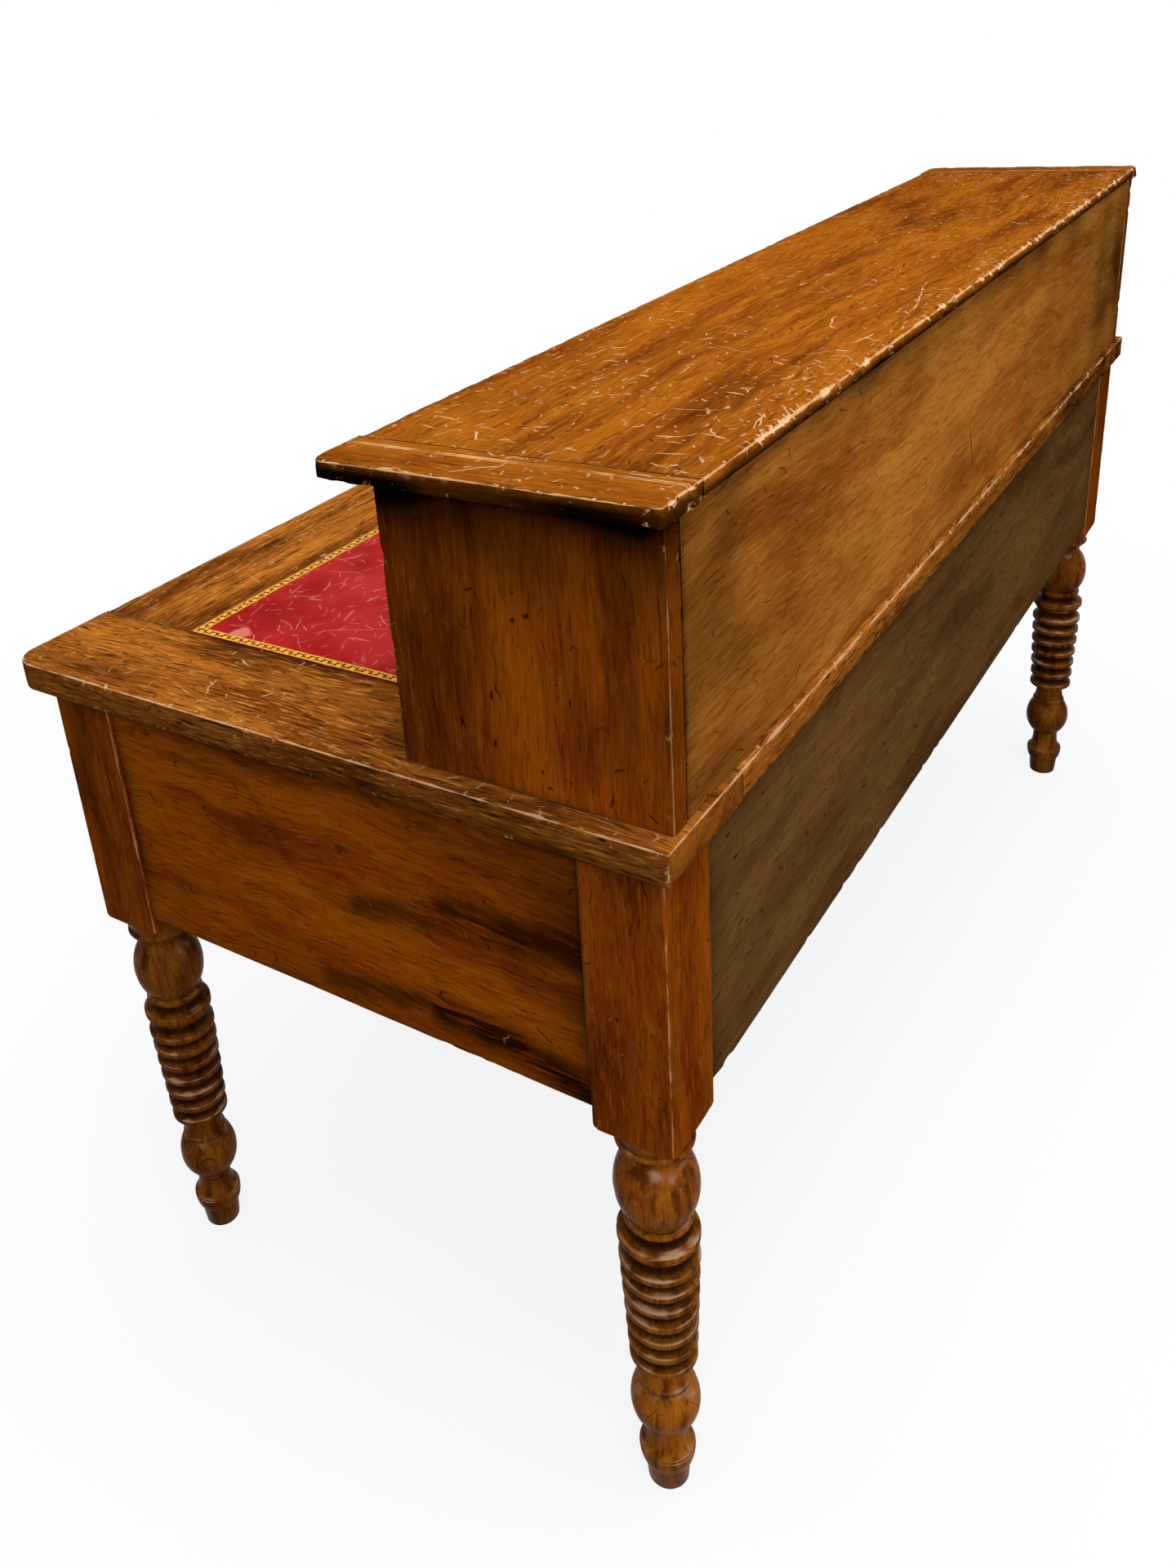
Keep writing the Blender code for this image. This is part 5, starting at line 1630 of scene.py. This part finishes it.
@dataclass
class Carcase:
    """The frame under the top: legs, panels, partitions, rails and runners."""

    shop: Shop
    panel_round: float = 0.0025
    leg_shade: float = 0.46

    def build(self) -> None:
        """Make every piece of the frame."""
        # Every leg but the near one takes painted shade over its turning.
        for end in ("front", "back"):
            for hand in Hand:
                fully_lit = end == "back" and hand is Hand.RIGHT
                Leg(f"leg_{end}_{hand.word}", shade=0.0 if fully_lit else self.leg_shade).build(self.shop)
        for hand in Hand:
            node = f"end_panel_{hand.word}"
            low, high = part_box(node)
            low.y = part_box(f"leg_front_{hand.word}")[1].y
            high.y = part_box(f"leg_back_{hand.word}")[0].y
            Board(node, Grain.END_LEVEL, (2, 80, 40), "panel_wood", low=low, high=high,
                  edge_round=self.panel_round, joints=frozenset({Side.FRONT, Side.BACK, Side.OVER}),
                  # Painted shadow under the top's overhang, painted shade beside the proud front post, darker
                  # by the back post and the lower side.
                  grime=(Grime(Side.OVER, 0.018, 1.20), Grime(Side.BACK, 0.030, 0.85),
                         Grime(Side.FRONT, 0.010, 1.10), Grime(Side.UNDER, 0.018, 0.45)),
                  scuff=0.3).build(self.shop)
        low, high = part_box("back_panel")
        low.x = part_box("leg_back_left")[1].x
        high.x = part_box("leg_back_right")[0].x
        Board("back_panel", Grain.FACE_LEVEL, (200, 2, 40), "back_wood", low=low, high=high,
              edge_round=self.panel_round, joints=frozenset({Side.LEFT, Side.RIGHT, Side.OVER}),
              wear=Wear(nick=0.0014, start=0.3), scuff=0.35,
              # Painted shadow under the top's overhang; darker by the posts, the lower side and towards the
              # right.
              grime=(Grime(Side.OVER, 0.022, 0.85), Grime(Side.RIGHT, 0.030, 0.65),
                     Grime(Side.LEFT, 0.040, 0.45), Grime(Side.UNDER, 0.014, 0.45),
                     Grime(Side.RIGHT, 0.600, 0.20))).build(self.shop)
        for hand in Hand:
            Fitted(f"kneehole_partition_{hand.word}", Grain.END_LEVEL, "front_wood").build(self.shop)
            Fitted(f"front_lower_rail_{hand.word}", Grain.ALONG_FLAT, "front_wood").build(self.shop)
            Fitted(f"centre_runner_{hand.word}", Grain.ACROSS_FLAT, "lining_wood").build(self.shop)
            for place in ("inner", "outer"):
                Fitted(f"{hand.word}_runner_{place}", Grain.ACROSS_FLAT, "lining_wood").build(self.shop)
        for node in ("front_top_rail", "front_centre_rail"):
            Fitted(node, Grain.ALONG_FLAT, "front_wood").build(self.shop)


@dataclass
class Gallery:
    """The stationery gallery: two sides, a back, its inner boards and the clamped lid."""

    shop: Shop
    side_round: float = 0.0022
    lid_round: float = 0.0068
    lid_front_corner: float = 0.014
    lid_back_corner: float = 0.005
    scribe_inset: float = 0.0145
    back_gap: float = 0.0012

    def build(self) -> None:
        """Make every piece of the gallery."""
        for hand in Hand:
            node = f"gallery_side_{hand.word}"
            Board(node, Grain.END_UPRIGHT, (2, 60, 120), "gallery_wood", edge_round=self.side_round,
                  joints=frozenset({Side.OVER, Side.UNDER}),
                  wear=Wear(nick=0.0012, size=0.014, start=0.22, line=0.45),
                  # Painted shadow of the lid's overhang down from the upper side; darker by the foot, the
                  # front and the back.
                  grime=(Grime(Side.OVER, 0.075, 1.35), Grime(Side.UNDER, 0.006, 0.70),
                         Grime(Side.FRONT, 0.090, 0.62), Grime(Side.BACK, 0.026, 0.60)),
                  scuff=0.35).build(self.shop)
            Fitted(f"gallery_upright_{hand.word}", Grain.END_UPRIGHT, "gallery_wood").build(self.shop)
            Fitted(f"gallery_pigeonhole_{hand.word}", Grain.END_UPRIGHT, "gallery_wood").build(self.shop)
        Fitted("gallery_shelf", Grain.ALONG_FLAT, "gallery_wood").build(self.shop)
        low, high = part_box("gallery_back")
        low.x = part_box("gallery_side_left")[1].x + self.back_gap
        high.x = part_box("gallery_side_right")[0].x - self.back_gap
        Board("gallery_back", Grain.FACE_LEVEL, (200, 2, 32), "gallery_wood", low=low, high=high,
              edge_round=self.side_round, joints=frozenset({Side.LEFT, Side.RIGHT, Side.OVER, Side.UNDER}),
              # Painted shadow of the lid's overhang along the upper side; a dark joint by the right side;
              # darker towards both ends and the foot.
              grime=(Grime(Side.RIGHT, 0.280, 0.78), Grime(Side.OVER, 0.050, 0.80),
                     Grime(Side.RIGHT, 0.0035, 1.3), Grime(Side.UNDER, 0.010, 0.60),
                     Grime(Side.LEFT, 0.420, 0.80)),
              scuff=0.25, look="back_board_wood").build(self.shop)
        self.lid()

    def lid(self) -> None:
        """The lid board between its two clamps, its back edge badly chipped."""
        chipped = Wear(soft=0.0006, nick=0.0032, size=0.017, start=0.08, reach=0.0060, line=0.32,
                       worst=Side.BACK)
        rubbed = Wear(soft=0.0005, nick=0.0032, size=0.015, start=-0.02, reach=0.0060, line=0.34,
                      worst=Side.BACK)
        for hand in Hand:
            node = f"lid_clamp_{hand.word}"
            low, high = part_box(node)
            inside = low.x if hand is Hand.RIGHT else high.x
            corners = ((hand.outer, Side.FRONT, self.lid_front_corner),
                       (hand.outer, Side.BACK, self.lid_back_corner))
            Board(node, Grain.ACROSS_FLAT, (20, 180, 2), "lid_wood", edge_round=self.lid_round,
                  joints=frozenset({hand.inner}), plan_corners=corners, wear=rubbed,
                  # Outer edge darkened by soiling and painted shade; painted shade over the lower rounding.
                  grime=(Grime(hand.outer, 0.0024, 0.65, 2.0), Grime(Side.UNDER, 0.0140, 1.25, 5.0)),
                  scribes=(inside + hand.value * self.scribe_inset,), scuff=1.0,
                  crowds=((Side.BACK, 0.11), (hand.inner, 0.03)), seed=1.3).build(self.shop)
        low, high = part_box("lid_board")
        low.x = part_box("lid_clamp_left")[1].x
        high.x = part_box("lid_clamp_right")[0].x
        Board("lid_board", Grain.ALONG_FLAT, (700, 36, 2), "lid_wood", low=low, high=high,
              edge_round=self.lid_round, joints=frozenset({Side.LEFT, Side.RIGHT}), wear=chipped,
              # Painted shade on the lower rounding; a little darker towards the right end.
              grime=(Grime(Side.UNDER, 0.0100, 1.1, 3.0), Grime(Side.RIGHT, 0.250, 0.14)),
              crowds=((Side.BACK, 0.035), (Side.RIGHT, 0.24), (Side.LEFT, 0.06), (Side.FRONT, 0.012)),
              scuff=1.0).build(self.shop)


@dataclass
class Drawer:
    """One dovetailed drawer with two turned knobs."""

    shop: Shop
    word: str
    knob_length: float = 0.030
    knob_radius: float = 0.0165
    knob_head_depth: float = 0.015
    knob_neck_radius: float = 0.0085
    knob_base_radius: float = 0.0115
    knob_base_depth: float = 0.004
    knob_lip: float = 0.001
    knob_sides: int = 48
    head_steps: int = 24
    neck_steps: int = 10
    base_steps: int = 8
    front_ease: float = 0.0012

    def build(self) -> None:
        """Make every piece of the drawer."""
        body = f"{self.word}_drawer"
        Fitted(f"{body}_front", Grain.FACE_LEVEL, "front_wood", body, ease=self.front_ease).build(self.shop)
        Fitted(f"{body}_back", Grain.FACE_LEVEL, "lining_wood", body).build(self.shop)
        Fitted(f"{body}_bottom", Grain.ALONG_FLAT, "lining_wood", body).build(self.shop)
        for hand in Hand:
            Fitted(f"{body}_side_{hand.word}", Grain.END_LEVEL, "lining_wood", body).build(self.shop)
            self.knob(f"{body}_knob_{hand.word}", body)

    def knob_profile(self) -> list[Point]:
        """Radius and height pairs of a knob that stands on its base, from the top of its head down."""
        head_low = self.knob_length - self.knob_head_depth
        head = swell(self.knob_length, head_low, 0.0, self.knob_radius, self.head_steps)
        points = [(0.0, self.knob_length), *head[:3 * self.head_steps // 4]]
        root = self.knob_base_radius - self.knob_lip
        points += cove(head_low + self.knob_lip, self.knob_base_depth, self.knob_neck_radius, root,
                       self.neck_steps)
        points += swell(self.knob_base_depth, 0.0, root, self.knob_base_radius, self.base_steps)
        return points + [(0.0, 0.0)]

    def knob(self, node: str, body: str) -> None:
        """Turn one knob upright, then lay it against the drawer front.

        Args:
            node: the solid that it stands for.
            body: the drawer that it moves with.
        """
        low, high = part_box(node)
        made = turned(node + "_dressed", self.knob_profile(), (0.0, 0.0), self.knob_sides)
        aside, up, out = places(made).T
        seat = low.y + self.knob_length
        laid = np.stack([aside + (low.x + high.x) / 2, seat - out, up + (low.z + high.z) / 2], 1)
        put_places(made, laid)
        sharp = spread(made, bend(made), 1)
        hollow = spread(made, step_up(-sharp, 20.0, 200.0), 2)
        note_wear_and_painted_light(made, edge=step_up(sharp, 60.0, 220.0) * 0.7, dirt=np.clip(hollow, 0.0, 0.8), scuff=0.2)
        self.shop.finish(made, node, "knob_wood", body, Grain.FACE_LEVEL)


# Studio

@dataclass
class Studio:
    """Pale floor, soft lamps and the camera at the photograph's angle."""

    camera_place: tuple[float, float, float] = (1.4744, 0.7362, 1.3190)
    camera_turn: tuple[float, float, float] = (66.57, 5.095, 124.711)
    lens_mm: float = 30.863
    shift: tuple[float, float] = (0.0801, -0.1260)
    floor_size: float = 60.0
    floor_lit: str = "8c8c8c"       # as light falls on it and comes back to the desk
    floor_seen: str = "fafafa"
    shadow_reach: tuple[float, float] = (0.7, 2.0)  # from the middle, where the shadow fades
    glow_least: float = 0.85
    world_light: float = 0.32

    def build(self) -> None:
        """Set up the floor, the light and the camera."""
        self.floor()
        self.light()
        self.camera()
        bpy.context.scene.view_settings.view_transform = "Standard"

    def floor(self) -> None:
        """A wide pale floor that keeps the desk's shadow."""
        bpy.ops.object.select_all(action="DESELECT")
        bpy.ops.mesh.primitive_plane_add(size=self.floor_size, location=(0.0, 0.0, 0.0))
        made = started("studio_floor")
        finish, tree, shader = new_finish("studio_floor_finish")
        shader.inputs["Roughness"].default_value = 0.9
        shader.inputs["Specular IOR Level"].default_value = 0.0
        seen = self.looked_at(tree)
        tone = tree.blend(seen, paint(self.floor_lit), paint(self.floor_seen))
        tree.feed(shader.inputs["Base Color"], tone)
        place = tree.add("ShaderNodeTexCoord").outputs["Object"]
        out = tree.measure("LENGTH", place)
        glow = tree.add("ShaderNodeEmission", {"Color": WHITE, "Strength": seen})
        share = tree.ramp(tree.rise(out, *self.shadow_reach), 1.0 - self.glow_least, self.glow_least)
        mixed = tree.add("ShaderNodeMixShader", {0: share, 1: shader.outputs[0], 2: glow.outputs[0]})
        tree.feed(finish.node_tree.nodes["Material Output"].inputs["Surface"], mixed.outputs[0])
        made.data.materials.append(finish)

    @staticmethod
    def looked_at(tree: Tree) -> Socket:
        """One for what is seen, straight or mirrored, and nought for light that only falls on things."""
        rays = tree.add("ShaderNodeLightPath").outputs
        mirrored = tree.most(rays["Is Glossy Ray"], rays["Is Transmission Ray"])
        return tree.most(rays["Is Camera Ray"], mirrored)

    @staticmethod
    def lamp(name: str, place: Sequence[float], aim: Sequence[float], size: float, watts: float) -> None:
        """Hang one soft square lamp and aim it at a point."""
        data = bpy.data.lights.new(name, "AREA")
        data.shape = "SQUARE"
        data.size = size
        data.energy = watts
        made = bpy.data.objects.new(name, data)
        bpy.context.scene.collection.objects.link(made)
        made.location = place
        made.rotation_euler = (Vector(aim) - Vector(place)).to_track_quat("-Z", "Y").to_euler()

    def light(self) -> None:
        """A wide soft lamp overhead, a weaker one by the camera, and an even world."""
        self.lamp("overhead", (0.25, 0.35, 3.4), (0.0, 0.0, 0.7), 2.4, 90.0)
        self.lamp("beside_camera", (2.6, 3.0, 2.2), (0.0, 0.0, 0.6), 2.2, 60.0)
        world = bpy.context.scene.world or bpy.data.worlds.new("studio_world")
        bpy.context.scene.world = world
        world.use_nodes = True
        tree = Tree(world.node_tree)
        ground = world.node_tree.nodes["Background"]
        lift = tree.ramp(self.looked_at(tree), 1.0 - self.world_light, self.world_light)
        ground.inputs["Color"].default_value = WHITE
        tree.feed(ground.inputs["Strength"], lift)

    def camera(self) -> None:
        """The camera, as fitted to the desk's corners in a frame of 1440 by 1920."""
        data = bpy.data.cameras.new("photo_camera")
        data.lens = self.lens_mm
        data.shift_x, data.shift_y = self.shift
        data.clip_end = 2 * self.floor_size
        made = bpy.data.objects.new("photo_camera", data)
        bpy.context.scene.collection.objects.link(made)
        made.location = self.camera_place
        made.rotation_euler = [math.radians(angle) for angle in self.camera_turn]
        bpy.context.scene.camera = made


def main() -> None:
    """Load the solids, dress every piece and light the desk."""
    logging.basicConfig(level=logging.INFO, format="%(message)s")
    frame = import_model()
    effects = Effects()
    materials = {wood.slot: wood.make(effects) for wood in WOODS}
    materials["leather"] = Skin().make(effects)
    materials["gilding"] = Gilding().make()
    shop = Shop(frame["nodes"], materials)
    DeskTop(shop).build()
    Carcase(shop).build()
    Gallery(shop).build()
    for word in ("left", "centre", "right"):
        Drawer(shop, word).build()
    Studio().build()


if __name__ == "__main__":
    main()
